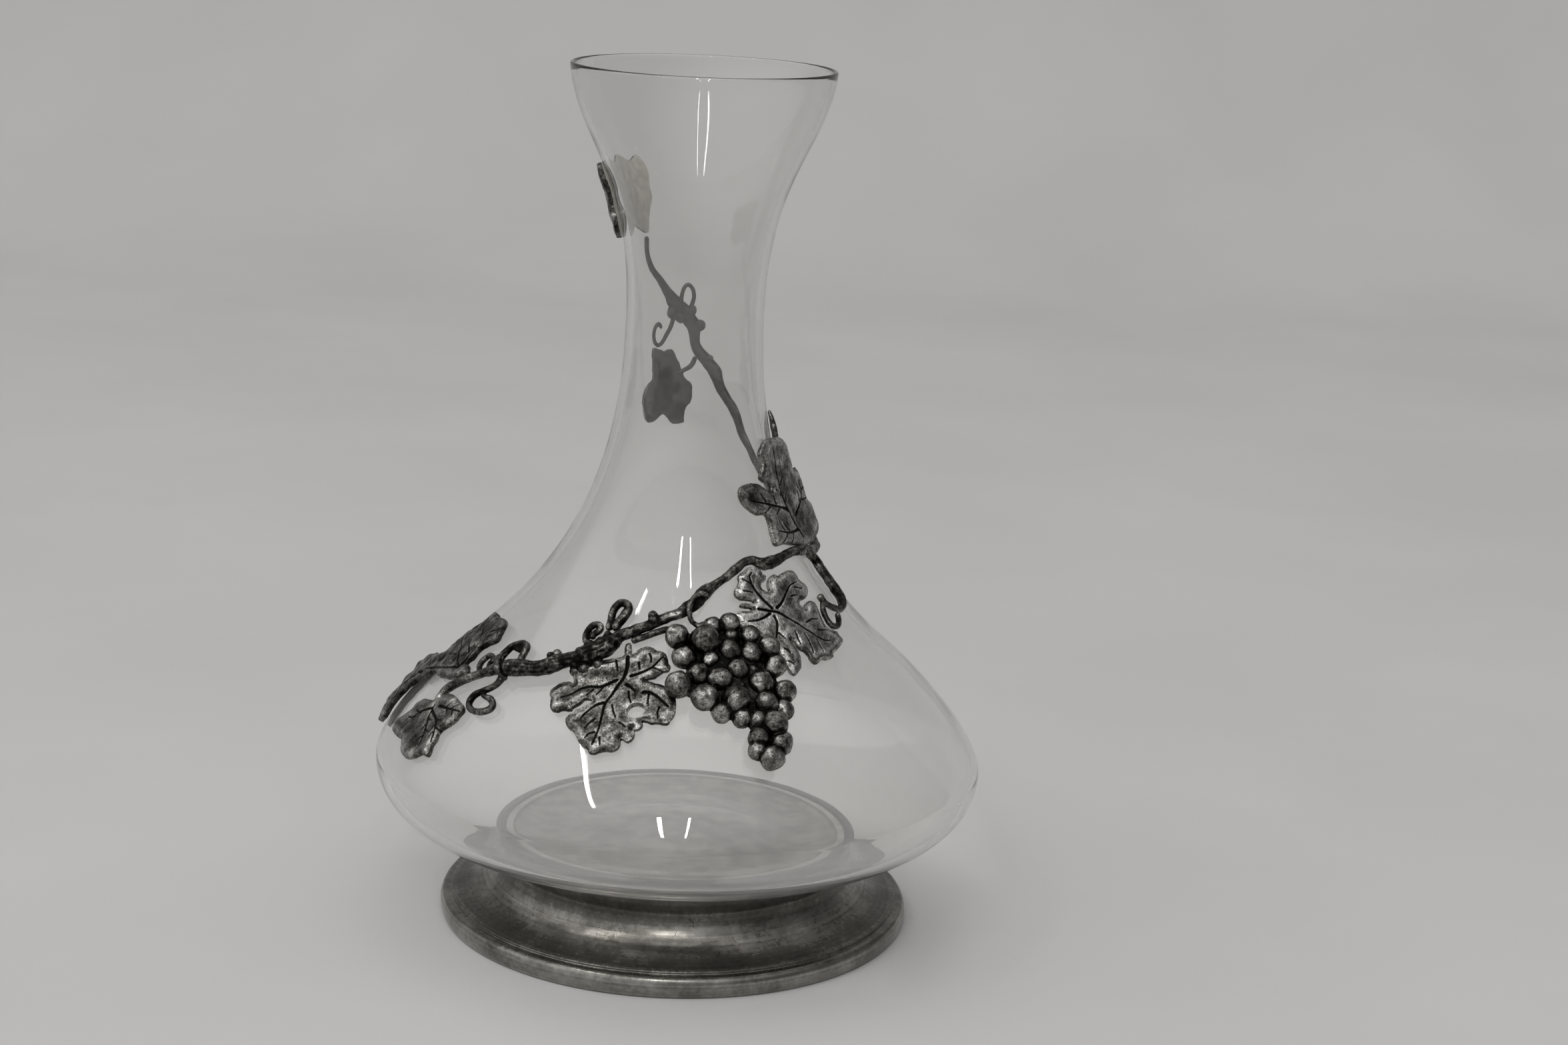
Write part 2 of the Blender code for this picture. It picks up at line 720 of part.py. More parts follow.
knob = (KNOB_AZIMUTH, run_at(KNOB_HEIGHT))
shoulder_branch = branch(
    "shoulder_branch",
    branch_route(knob, SHOULDER_BRANCH_LENGTH, (
        (0.000, 0.000, 1.47), (-0.072, 0.012, 1.02), (-0.072, -0.005, 1.09),
        (-0.059, -0.009, 1.23), (-0.063, -0.014, 1.51), (-0.036, 0.011, 1.29),
        (-0.031, 0.017, 0.97), (-0.040, -0.005, 0.93), (-0.036, -0.022, 1.00),
        (-0.035, -0.026, 1.03), (-0.039, -0.025, 1.00), (-0.037, -0.021, 1.07),
        (-0.031, -0.026, 1.28), (-0.030, -0.029, 1.49), (-0.029, -0.038, 1.56),
        (-0.055, -0.043, 1.27), (-0.049, -0.022, 1.17), (-0.043, -0.022, 1.20),
        (-0.042, -0.027, 1.20), (-0.041, -0.024, 1.27), (-0.041, -0.026, 1.34),
    )),
    garland,
)
lower_branch = branch(
    "lower_branch",
    branch_route(shoulder_branch.seat(-1), LOWER_BRANCH_LENGTH, (
        (-0.026, -0.018, 1.34), (-0.035, -0.055, 1.98), (-0.036, -0.036, 2.19),
        (-0.041, -0.028, 2.12), (-0.039, -0.025, 1.77), (-0.059, -0.025, 1.56),
        (-0.040, -0.032, 1.84), (-0.062, -0.033, 1.63), (-0.073, -0.025, 1.85),
        (-0.079, -0.021, 1.79), (-0.078, -0.032, 1.36), (-0.098, -0.061, 0.97),
        (-0.077, -0.069, 0.94), (-0.046, -0.065, 0.91), (0.005, -0.069, 0.87),
    )),
    garland,
)
neck_branch = branch(
    "neck_branch",
    branch_route(knob, NECK_BRANCH_LENGTH, (
        (0.016, -0.005, 1.10), (0.051, -0.012, 1.15), (0.055, 0.005, 1.15), (0.047, 0.033, 1.15),
        (0.039, 0.048, 1.15), (0.036, 0.049, 1.15), (0.028, 0.041, 1.15), (0.023, 0.044, 1.15),
        (0.020, 0.034, 1.20), (0.016, 0.048, 1.25), (0.031, 0.045, 1.25), (0.015, 0.029, 1.45),
        (0.010, 0.022, 1.75), (0.022, 0.029, 1.45), (0.023, 0.031, 1.25), (0.008, 0.045, 1.65),
        (0.017, 0.028, 1.75), (0.024, 0.026, 1.85), (0.024, 0.030, 1.25), (0.025, 0.033, 0.90),
        (0.026, 0.028, 0.80), (0.017, 0.037, 0.75), (-0.003, 0.041, 0.70),
    )),
    garland,
)
side_twig = branch(
    "side_twig",
    side_route(shoulder_branch.seat(0), SIDE_TWIG_REACH, (
        (0.14, -0.07, 1.03), (0.26, -0.21, 1.03), (0.28, -0.34, 1.07), (0.32, -0.48, 1.07),
        (0.35, -0.61, 1.11), (0.38, -0.74, 1.11), (0.38, -0.86, 1.11), (0.29, -0.96, 1.03),
        (0.13, -0.99, 0.81), (0.01, -0.92, 0.73), (-0.11, -0.83, 0.73), (-0.16, -0.75, 0.77),
        (-0.17, -0.66, 0.95),
    )),
    garland,
)
grape_stalk = tendril(
    "grape_stalk",
    side_route(lower_branch.seat(0), GRAPE_STALK_REACH, (
        (0.22, -0.05, 1.31), (0.40, 0.06, 1.24), (0.58, 0.16, 1.24), (0.73, 0.24, 1.24),
        (0.85, 0.28, 1.25), (0.97, 0.26, 1.31),
    )),
    garland,
)
leaf_neck_stalk = tendril(
    "leaf_neck_stalk",
    side_route(neck_branch.seat(14), LEAF_NECK_STALK_REACH, (
        (0.00, -0.28, 1.00), (0.13, -0.57, 1.00), (0.35, -0.72, 0.90), (0.56, -0.83, 0.80),
    )),
    garland,
)
tendril_front_curl = tendril(
    "tendril_front_curl",
    side_route(lower_branch.seat(1), FRONT_CURL_REACH, (
        (-0.22, 0.36, 1.18), (-0.22, 0.55, 1.19), (-0.24, 0.71, 1.19), (-0.21, 0.86, 1.25),
        (-0.13, 0.97, 1.25), (-0.01, 1.00, 1.25), (0.12, 0.98, 1.32), (0.20, 0.89, 1.38),
        (0.18, 0.77, 1.45), (0.11, 0.66, 1.45), (0.03, 0.54, 1.45), (0.00, 0.37, 1.45),
    )),
    garland,
)
tendril_front_small = tendril(
    "tendril_front_small",
    side_route(lower_branch.seat(3), FRONT_SMALL_REACH, (
        (-0.25, 0.39, 1.05), (-0.35, 0.59, 1.05), (-0.34, 0.78, 1.06), (-0.27, 0.93, 1.06),
        (-0.14, 0.99, 1.05), (-0.03, 0.93, 1.05), (-0.03, 0.81, 1.05), (-0.13, 0.70, 1.05),
        (-0.14, 0.53, 1.05),
    )),
    garland,
)
tendril_left_wrap = tendril(
    "tendril_left_wrap",
    side_route(lower_branch.seat(9), LEFT_WRAP_REACH, (
        (-0.54, -0.08, 1.13), (-0.79, 0.13, 1.14), (-0.82, 0.38, 1.14), (-0.75, 0.63, 1.14),
        (-0.57, 0.81, 1.14), (-0.34, 0.92, 1.13), (-0.13, 0.88, 1.13), (-0.04, 0.72, 1.13),
        (-0.01, 0.52, 1.13), (0.09, 0.29, 1.13),
    )),
    garland,
)
tendril_left_small = tendril(
    "tendril_left_small",
    side_route(lower_branch.seat(11), LEFT_SMALL_REACH, (
        (0.10, 0.10, 1.07), (-0.37, 0.28, 1.07), (-0.56, 0.52, 1.08), (-0.53, 0.77, 1.08),
        (-0.44, 0.91, 1.08), (-0.17, 0.94, 1.07), (0.03, 0.82, 1.07), (0.02, 0.65, 1.07),
        (0.21, 0.43, 1.07),
    )),
    garland,
)
tendril_left_curl = tendril(
    "tendril_left_curl",
    side_route(lower_branch.seat(9), LEFT_CURL_REACH, (
        (-0.10, -0.11, 1.59), (-0.07, -0.32, 1.32), (-0.14, -0.46, 1.26), (-0.28, -0.59, 1.26),
        (-0.39, -0.71, 1.26), (-0.41, -0.83, 1.26), (-0.35, -0.93, 1.26), (-0.20, -0.98, 1.26),
        (-0.02, -0.96, 1.25), (0.13, -0.90, 1.25), (0.21, -0.81, 1.25), (0.18, -0.72, 1.25),
        (0.05, -0.66, 1.19), (-0.11, -0.65, 1.06),
    )),
    garland,
)
tendril_right_loop = tendril(
    "tendril_right_loop",
    side_route(side_twig.seat(11), RIGHT_LOOP_REACH, (
        (-0.02, -0.06, 1.08), (-0.25, -0.31, 1.08), (-0.35, -0.56, 1.08), (-0.37, -0.81, 1.08),
        (-0.26, -0.97, 1.08), (0.03, -0.99, 1.08), (0.25, -0.85, 1.08), (0.44, -0.63, 1.09),
    )),
    garland,
)
tendril_neck_loop = tendril(
    "tendril_neck_loop",
    side_route(neck_branch.seat(16), NECK_LOOP_REACH, (
        (0.22, 0.37, 1.00), (0.18, 0.71, 0.90), (0.11, 0.92, 0.85), (-0.01, 1.00, 0.85),
        (-0.15, 0.87, 0.85), (-0.20, 0.63, 0.85), (-0.14, 0.37, 0.90), (-0.04, 0.03, 1.00),
    )),
    garland,
)
tendril_neck_ring = tendril(
    "tendril_neck_ring",
    side_route(neck_branch.seat(17), NECK_RING_REACH, (
        (0.04, -0.06, 1.00), (0.15, -0.45, 0.95), (0.27, -0.66, 0.90), (0.38, -0.83, 0.85),
        (0.49, -0.87, 0.85), (0.59, -0.78, 0.85), (0.63, -0.60, 0.85), (0.58, -0.43, 0.85),
        (0.48, -0.39, 0.80), (0.40, -0.49, 0.70),
    )),
    garland,
)
tendril_shoulder_spike = tendril(
    "tendril_shoulder_spike",
    side_route(neck_branch.seat(3), SHOULDER_SPIKE_REACH, (
        (-0.05, -0.05, 1.10), (-0.04, 0.10, 1.10), (-0.07, 0.31, 1.10), (-0.10, 0.53, 1.10),
        (-0.11, 0.72, 1.15), (-0.10, 0.85, 1.20), (-0.06, 0.93, 1.05), (-0.03, 1.00, 0.60),
    )),
    garland,
)

bunch_seat = moved(grape_stalk.seat(-1), 1.25 * GRAPE_PITCH, -0.35 * GRAPE_PITCH)
bunch, berries = bunch_solids("", bunch_seat, 0.0, garland)
group_boolean(bunch, gather("berries", berries), "UNION")
bunch_core_cutter, berry_cutters = bunch_solids("_cutter", bunch_seat, JOINT_GAP, garland)
make_cutter(bunch_core_cutter)
bunch_cutters = gather("bunch_cutters", [bunch_core_cutter] + berry_cutters)

trim(lower_branch.solid, [shoulder_branch.cutter])
trim(neck_branch.solid, [shoulder_branch.cutter])
trim(side_twig.solid, [shoulder_branch.cutter, neck_branch.cutter])
trim(grape_stalk.solid, [lower_branch.cutter, shoulder_branch.cutter])
group_boolean(grape_stalk.solid, bunch_cutters, "DIFFERENCE")
trim(leaf_neck_stalk.solid, [neck_branch.cutter])
trim(tendril_front_curl.solid, [lower_branch.cutter, shoulder_branch.cutter])
trim(tendril_front_small.solid, [lower_branch.cutter, tendril_front_curl.cutter])
trim(tendril_left_wrap.solid, [lower_branch.cutter])
trim(tendril_left_small.solid, [lower_branch.cutter, tendril_left_wrap.cutter])
trim(tendril_left_curl.solid, [lower_branch.cutter])
trim(tendril_right_loop.solid, [side_twig.cutter])
trim(tendril_neck_loop.solid, [neck_branch.cutter])
trim(tendril_neck_ring.solid, [neck_branch.cutter])
trim(tendril_shoulder_spike.solid, [neck_branch.cutter])

leaf_front = make_leaf(
    "leaf_front",
    stalk_end(lower_branch.seat(0), 153, 0.337 * LEAF_FRONT_REACH),
    LEAF_FRONT_REACH,
    (
        (16, 0.15), (19, 0.19), (34, 0.28), (54, 0.33), (58, 0.36), (67, 0.38), (87, 0.42),
        (92, 0.41), (95, 0.37), (108, 0.32), (125, 0.25), (115, 0.42), (114, 0.50), (116, 0.58),
        (120, 0.64), (130, 0.76), (138, 0.81), (148, 0.72), (154, 0.66), (154, 0.71), (157, 0.74),
        (160, 0.74), (162, 0.72), (161, 0.78), (162, 0.83), (165, 0.86), (170, 0.81), (170, 0.87),
        (172, 0.92), (175, 0.95), (188, 1.00), (190, 0.96), (194, 0.95), (205, 0.87), (207, 0.88),
        (213, 0.83), (214, 0.68), (208, 0.52), (210, 0.50), (215, 0.52), (217, 0.56), (217, 0.72),
        (226, 0.89), (233, 0.84), (236, 0.85), (239, 0.82), (244, 0.68), (243, 0.61), (240, 0.56),
        (257, 0.55), (265, 0.38), (310, 0.12), (334, 0.13), (343, 0.24), (356, 0.25), (6, 0.14),
    ),
    ((187, 0.90), (230, 0.73), (143, 0.68), (70, 0.33), (205, 0.36)),
    garland,
    hole=(156, 0.54, 0.073),
)
leaf_grapes = make_leaf(
    "leaf_grapes",
    moved(bunch_seat, 4.12 * GRAPE_PITCH, 1.24 * GRAPE_PITCH),
    LEAF_GRAPES_REACH,
    (
        (344, 0.55), (351, 0.54), (357, 0.49), (3, 0.41), (0, 0.35), (351, 0.33), (347, 0.28),
        (354, 0.24), (7, 0.24), (6, 0.31), (11, 0.39), (18, 0.44), (26, 0.42), (40, 0.55),
        (48, 0.58), (75, 0.61), (80, 0.58), (83, 0.48), (83, 0.39), (89, 0.37), (96, 0.43),
        (90, 0.47), (88, 0.56), (92, 0.62), (115, 0.73), (118, 0.91), (123, 1.00), (127, 0.97),
        (139, 0.87), (142, 0.88), (149, 0.79), (156, 0.77), (160, 0.74), (160, 0.58), (164, 0.53),
        (166, 0.41), (171, 0.38), (170, 0.58), (173, 0.66), (177, 0.73), (183, 0.79), (187, 0.76),
        (196, 0.53), (210, 0.42), (254, 0.47), (263, 0.49), (270, 0.47), (276, 0.39), (276, 0.30),
        (283, 0.25), (283, 0.40), (290, 0.37), (292, 0.30), (302, 0.24), (296, 0.40), (301, 0.46),
        (307, 0.48), (322, 0.50), (327, 0.54),
    ),
    ((128, 0.79), (57, 0.47), (331, 0.48), (262, 0.40), (180, 0.70)),
    garland,
)
leaf_shoulder = make_leaf(
    "leaf_shoulder",
    stalk_end(shoulder_branch.seat(0), 50, 0.116 * LEAF_SHOULDER_REACH),
    LEAF_SHOULDER_REACH,
    (
        (-84, 0.44), (-66, 0.45), (-51, 0.51), (-55, 0.62), (-52, 0.75), (-45, 0.83),
        (-38, 0.81), (-31, 0.73), (-26, 0.59), (-21, 0.63), (-26, 0.74), (-18, 0.82),
        (-16, 0.93), (-7, 1.00), (6, 0.97), (14, 0.90), (18, 0.80), (23, 0.65), (31, 0.69),
        (40, 0.60), (48, 0.46), (60, 0.47), (72, 0.44), (90, 0.41), (104, 0.22), (170, 0.06),
        (276, 0.30),
    ),
    ((-3, 0.88), (-45, 0.68), (28, 0.54), (-62, 0.36)),
    garland,
    stand_off=(0.0, 0.28),
)
leaf_small_left = make_leaf(
    "leaf_small_left",
    stalk_end(lower_branch.seat(-1), 162, 0.049 * LEAF_SMALL_REACH),
    LEAF_SMALL_REACH,
    (
        (288, 0.10), (336, 0.13), (35, 0.31), (53, 0.44), (72, 0.68), (78, 0.76), (90, 0.75),
        (96, 0.73), (110, 0.67), (116, 0.69), (128, 0.94), (131, 1.00), (138, 0.90), (150, 0.91),
        (158, 0.91), (176, 0.79), (193, 0.71), (221, 0.95), (228, 0.96), (233, 0.93), (240, 0.57),
        (248, 0.55), (255, 0.46), (264, 0.34),
    ),
    ((226, 0.82), (152, 0.80), (127, 0.80), (86, 0.62)),
    garland,
)
leaf_side_left = make_leaf(
    "leaf_side_left",
    stalk_end(lower_branch.seat(12), 301, 0.118 * LEAF_SIDE_REACH),
    LEAF_SIDE_REACH,
    (
        (326, 0.40), (355, 0.35), (2, 0.31), (10, 0.24), (354, 0.15), (5, 0.08), (1, 0.04),
        (76, 0.07), (99, 0.08), (204, 0.09), (230, 0.19), (243, 0.32), (239, 0.52), (236, 0.63),
        (231, 0.71), (222, 0.75), (225, 0.87), (232, 0.97), (237, 1.00), (242, 1.00), (248, 0.90),
        (251, 0.83), (256, 0.62), (262, 0.40), (279, 0.39), (289, 0.39), (313, 0.38), (318, 0.41),
    ),
    ((246, 0.90), (278, 0.30), (322, 0.33), (342, 0.28)),
    garland,
    stand_off=(0.012, 0.0),
)
leaf_neck_back = make_leaf(
    "leaf_neck_back",
    stalk_end(leaf_neck_stalk.seat(-1), 40, 0.328 * LEAF_NECK_BACK_REACH),
    LEAF_NECK_BACK_REACH,
    (
        (39, 0.11), (62, 0.21), (132, 0.22), (156, 0.36), (150, 0.43), (151, 0.60),
        (159, 0.74), (166, 0.88), (171, 0.92), (178, 0.89), (183, 0.82), (187, 0.83),
        (193, 0.97), (202, 1.00), (204, 0.92), (209, 0.80), (215, 0.77), (226, 0.60),
        (226, 0.46), (241, 0.28), (266, 0.18), (304, 0.14), (349, 0.06),
    ),
    ((185, 0.66), (166, 0.72), (204, 0.78)),
    garland,
)
leaf_neck_left = make_leaf(
    "leaf_neck_left",
    stalk_end(neck_branch.seat(-1), 11, 0.131 * LEAF_NECK_LEFT_REACH),
    LEAF_NECK_LEFT_REACH,
    (
        (-157, 0.10), (-50, 0.12), (-32, 0.33), (-24, 0.40), (-19, 0.59), (-8, 0.72),
        (4, 0.66), (21, 0.78), (33, 0.78), (43, 0.98), (53, 1.00), (60, 0.89), (66, 0.72),
        (77, 0.73), (88, 0.63), (100, 0.48), (103, 0.35), (94, 0.22), (121, 0.11),
    ),
    ((50, 0.84), (-8, 0.56), (82, 0.56), (22, 0.60)),
    garland,
)

trim(leaf_front, [lower_branch.cutter, shoulder_branch.cutter, grape_stalk.cutter])
trim(leaf_grapes, [shoulder_branch.cutter, side_twig.cutter, tendril_right_loop.cutter])
for leaf in (leaf_front, leaf_grapes):
    group_boolean(leaf, bunch_cutters, "DIFFERENCE")
trim(leaf_shoulder, [shoulder_branch.cutter, neck_branch.cutter, side_twig.cutter])
trim(leaf_shoulder, [tendril_shoulder_spike.cutter])
trim(leaf_small_left, [lower_branch.cutter, tendril_left_curl.cutter])
trim(leaf_side_left, [lower_branch.cutter, tendril_left_small.cutter])
trim(leaf_neck_back, [neck_branch.cutter, leaf_neck_stalk.cutter, tendril_neck_ring.cutter])
trim(leaf_neck_left, [neck_branch.cutter])
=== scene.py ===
import math

import bpy
import numpy as np
from mathutils import Matrix


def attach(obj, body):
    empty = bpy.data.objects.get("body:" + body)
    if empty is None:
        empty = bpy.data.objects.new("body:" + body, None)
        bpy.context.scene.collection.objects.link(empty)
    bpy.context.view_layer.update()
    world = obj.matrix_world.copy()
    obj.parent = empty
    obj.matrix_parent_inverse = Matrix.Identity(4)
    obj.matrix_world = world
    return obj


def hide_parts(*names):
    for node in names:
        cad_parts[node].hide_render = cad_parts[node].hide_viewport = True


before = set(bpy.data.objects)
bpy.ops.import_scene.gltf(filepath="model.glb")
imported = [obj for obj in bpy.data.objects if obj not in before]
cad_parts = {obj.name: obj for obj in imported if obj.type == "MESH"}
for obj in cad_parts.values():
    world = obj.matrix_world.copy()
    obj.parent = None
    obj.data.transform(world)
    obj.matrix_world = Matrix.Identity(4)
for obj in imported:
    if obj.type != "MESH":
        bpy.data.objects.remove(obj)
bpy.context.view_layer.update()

# Foot: a pewter ring, cast with a closed deck and turned on the lathe, with a collar round the heel
# of the glass, a hollow flare, and a rounded edge under a cut line. Its surface is satin and scratched.

FOOT_RADIUS = 0.0692
FOOT_BEAD_HEIGHT = 0.0061
FOOT_TREAD_WIDTH = 0.0042
FOOT_GROOVE_DEPTH = 0.0017
FOOT_GROOVE_WIDTH = 0.0008
FOOT_WAIST_RADIUS = 0.0526
FOOT_WAIST_HEIGHT = 0.0190
FOOT_WALL = 0.0024
FOOT_EDGE_ROUNDING = 0.00025
DECK_HEIGHT = 0.0196
DECK_THICKNESS = 0.0018
COLLAR_RADIUS = 0.0536
JOINT_GAP = 0.0003
CEMENT_THICKNESS = 0.0011
HEEL_RADIUS = 0.0485
HEEL_DEPTH = 0.0023
HEEL_BOTTOM = DECK_HEIGHT + JOINT_GAP + CEMENT_THICKNESS + JOINT_GAP
HEEL_TOP = HEEL_BOTTOM + HEEL_DEPTH
UNDERSIDE_SLOPE = math.radians(12.6)
FLARE_DROP = 0.55
FLARE_REACH = 0.62
FLARE_TILT = math.radians(168)
FLARE_INSET = (0.75, 0.66)
LATHE_STEPS = 160
SHARP_EDGE = math.radians(40)


def curve(start, start_pull, end_pull, end, steps):
    """Points of one cubic curve of (radius, height), after its start and up to its end."""
    t = np.linspace(0, 1, steps + 1)[1:, None]
    s = 1 - t
    pull, push = np.array(start_pull), np.array(end_pull)
    return np.array(start) * s**3 + pull * 3 * s**2 * t + push * 3 * s * t**2 + np.array(end) * t**3


def pick_only(piece):
    bpy.ops.object.select_all(action="DESELECT")
    piece.select_set(True)
    bpy.context.view_layer.objects.active = piece


def apply_modifier(piece, kind, **settings):
    pick_only(piece)
    step = piece.modifiers.new(kind.lower(), kind)
    for name, value in settings.items():
        setattr(step, name, value)
    bpy.ops.object.modifier_apply(modifier=step.name)


def start_piece(add, name, **settings):
    bpy.ops.object.select_all(action="DESELECT")
    add(**settings)
    piece = bpy.context.object
    piece.name = piece.data.name = name
    return piece


def edit(on):
    bpy.ops.object.mode_set(mode="EDIT" if on else "OBJECT")


def pick_edges(piece, chosen):
    """In edit mode, select only the edges whose two ends pass a test."""
    edit(True)
    bpy.ops.mesh.select_mode(type="EDGE")
    bpy.ops.mesh.select_all(action="DESELECT")
    edit(False)
    for edge in piece.data.edges:
        edge.select = all(chosen(piece.data.vertices[i].co) for i in edge.vertices)
    edit(True)


def turn_on_lathe(name, outline):
    """Spin an outline of (radius, height) points about the axis."""
    piece = start_piece(bpy.ops.mesh.primitive_circle_add, name, vertices=len(outline), fill_type="NOTHING")
    for vertex, (radius, height) in zip(piece.data.vertices, outline):
        vertex.co = (radius, 0, height)
    pick_edges(piece, lambda place: place.x == 0)
    bpy.ops.mesh.delete(type="EDGE")
    bpy.ops.mesh.select_mode(type="VERT")
    bpy.ops.mesh.select_all(action="SELECT")
    bpy.ops.mesh.spin(steps=LATHE_STEPS, angle=2 * math.pi, center=(0, 0, 0), axis=(0, 0, 1))
    bpy.ops.mesh.select_all(action="SELECT")
    bpy.ops.mesh.remove_doubles(threshold=0.000002)
    bpy.ops.mesh.normals_make_consistent(inside=False)
    edit(False)
    return piece


def add_node(tree, kind, **settings):
    node = tree.nodes.new("ShaderNode" + kind)
    for name, value in settings.items():
        if name in node.inputs:
            node.inputs[name].default_value = value
        else:
            setattr(node, name, value)
    return node


def link(source, target):
    source.id_data.links.new(source, target)


def new_material(name, **values):
    """A node material, its shader with some plain values, and the places on the piece that wears it."""
    material = bpy.data.materials.new(name)
    material.use_nodes = True
    shader = material.node_tree.nodes["Principled BSDF"]
    for socket, value in values.items():
        shader.inputs[socket.replace("_", " ")].default_value = value
    return material, shader, add_node(material.node_tree, "TexCoord").outputs["Object"]


def pattern(place, kind, **settings):
    """Results of a node of some kind over places."""
    node = add_node(place.id_data, kind, **settings)
    link(place, node.inputs["Vector"])
    return node.outputs


def noise(place, **settings):
    return pattern(place, "TexNoise", **settings)["Fac"]


def ramp(value, stops):
    """Grey or colour for a value, from stops of (value, grey or colour)."""
    node = add_node(value.id_data, "ValToRGB")
    link(value, node.inputs[0])
    elements = node.color_ramp.elements
    while len(elements) < len(stops):
        elements.new(0.5)
    for element, (place, colour) in zip(elements, stops):
        element.position = place
        element.color = (*colour, 1) if isinstance(colour, tuple) else (colour, colour, colour, 1)
    return node.outputs[0]


def arithmetic(operation, first, second=0.0):
    """Result of a sum on one value and another, or a number."""
    node = add_node(first.id_data, "Math", operation=operation)
    link(first, node.inputs[0])
    if isinstance(second, float):
        node.inputs[1].default_value = second
    else:
        link(second, node.inputs[1])
    return node.outputs[0]


def blend(*parts, plus=0.0):
    """Sum of parts of (value, share), and a number."""
    total, *others = [arithmetic("MULTIPLY", value, share) for value, share in parts]
    for other in others:
        total = arithmetic("ADD", total, other)
    return arithmetic("ADD", total, plus)


def roughen(shader, height, **settings):
    node = add_node(height.id_data, "Bump", **settings)
    link(height, node.inputs["Height"])
    link(node.outputs[0], shader.inputs["Normal"])


def turned_pewter():
    """Satin grey pewter: fine turning lines, cloudy tarnish and scratches, with painted shade in the cut
    line and from high on the flare up, and a painted highlight on the rounded edge.
    """
    material, shader, place = new_material("turned_pewter", Metallic=1.0)
    x, y, height = pattern(place, "SeparateXYZ")
    lathe = add_node(material.node_tree, "CombineXYZ")
    link(arithmetic("SQRT", blend((x, x), (y, y))), lathe.inputs["X"])
    link(height, lathe.inputs["Z"])
    rings = noise(lathe.outputs[0], Scale=900.0, Detail=4.0, Roughness=0.7)
    cloud = noise(place, Scale=70.0, Detail=6.0, Roughness=0.65)
    specks = noise(place, Scale=700.0, Detail=3.0, Roughness=0.6)
    squeezed = pattern(place, "Mapping", Scale=(1.0, 1.0, 4.0))[0]
    scratch = pattern(squeezed, "TexVoronoi", feature="DISTANCE_TO_EDGE", Scale=120.0)["Distance"]
    scored = ramp(scratch, ((0.0, 0.0), (0.012, 1.0)))
    whole = arithmetic("MAXIMUM", scored, ramp(cloud, ((0.52, 1.0), (0.60, 0.0))))
    # Painted light by height: a painted highlight on the rounded edge, painted shade in the cut line,
    # slightly brighter mid-flare, and painted shade from high on the flare up to the collar.
    painted_light_by_height = ramp(height, (
        (0.0050, 1.16), (0.0060, 0.35), (0.0070, 0.35), (0.0082, 1.0), (0.0125, 1.06), (0.0165, 0.80),
    ))
    shade = blend((rings, 0.35), (cloud, 0.55), (specks, 0.25))
    shade = arithmetic("MULTIPLY", shade, blend((whole, 0.28), plus=0.72))
    shade = arithmetic("MULTIPLY", shade, painted_light_by_height)
    link(ramp(shade, (
        (0.30, (0.030, 0.028, 0.024)), (0.48, (0.105, 0.100, 0.090)),
        (0.60, (0.215, 0.207, 0.190)), (0.80, (0.430, 0.418, 0.395)),
    )), shader.inputs["Base Color"])
    link(ramp(shade, ((0.35, 0.36), (0.60, 0.23), (0.80, 0.17))), shader.inputs["Roughness"])
    roughen(shader, blend((rings, 1.0), (specks, 0.5), (whole, 0.6)), Strength=0.22, Distance=0.0001)
    return material


def finish_turned(piece, material, node):
    """Smooth but crisp at its edges, in its material, for a CAD node."""
    pick_only(piece)
    bpy.ops.object.shade_smooth_by_angle(angle=SHARP_EDGE)
    piece.data.materials.append(material)
    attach(piece, "root")
    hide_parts(node)


collar_in = HEEL_RADIUS + FOOT_WALL
collar_top = HEEL_TOP + FOOT_WALL * math.tan(UNDERSIDE_SLOPE) - JOINT_GAP
collar_low = (FOOT_WAIST_HEIGHT + collar_top) / 2
bead_radius = FOOT_BEAD_HEIGHT / 2
tread_out = FOOT_RADIUS - bead_radius / 2
tread_in = tread_out - FOOT_TREAD_WIDTH
groove_in = tread_out - FOOT_GROOVE_DEPTH
groove_top = FOOT_BEAD_HEIGHT + FOOT_GROOVE_WIDTH
waist = (FOOT_WAIST_RADIUS, FOOT_WAIST_HEIGHT)
flare_reach = (groove_in - FOOT_WAIST_RADIUS) * FLARE_REACH
flare = curve(
    waist,
    (FOOT_WAIST_RADIUS, FOOT_WAIST_HEIGHT - FLARE_DROP * (FOOT_WAIST_HEIGHT - groove_top)),
    (groove_in + flare_reach * math.cos(FLARE_TILT), groove_top + flare_reach * math.sin(FLARE_TILT)),
    (groove_in, groove_top),
    22,
)
bead_out = FOOT_RADIUS + bead_radius / 6
bead = curve(
    (tread_out, FOOT_BEAD_HEIGHT), (bead_out, FOOT_BEAD_HEIGHT), (bead_out, 0), (tread_out, 0), 14
)
hollow = flare[::-1] - FOOT_WALL * np.array(FLARE_INSET)
cavity_top = DECK_HEIGHT - DECK_THICKNESS
hollow = hollow[hollow[:, 1] < cavity_top - FOOT_WALL]
hollow = hollow[hollow[:, 1] > FOOT_WALL]
foot_outline = np.vstack((
    [(0, DECK_HEIGHT), (collar_in, DECK_HEIGHT), (collar_in, collar_top)],
    [(COLLAR_RADIUS, collar_top), (COLLAR_RADIUS, collar_low), waist],
    flare,
    [(groove_in, FOOT_BEAD_HEIGHT), (tread_out, FOOT_BEAD_HEIGHT)],
    bead,
    [(tread_in, 0), (tread_in - FOOT_WALL / 4, FOOT_WALL / 2)],
    hollow,
    [(hollow[-1][0] - FOOT_WALL / 2, cavity_top), (0, cavity_top)],
))
foot = turn_on_lathe("foot_pewter", foot_outline)
apply_modifier(
    foot, "BEVEL", width=FOOT_EDGE_ROUNDING, segments=3, limit_method="ANGLE", angle_limit=math.radians(35)
)
finish_turned(foot, turned_pewter(), "foot")

# Cement: a bed of setting cement, poured on the deck, which the underside of the glass was pressed into.
# It is hard, pale grey and cloudy.

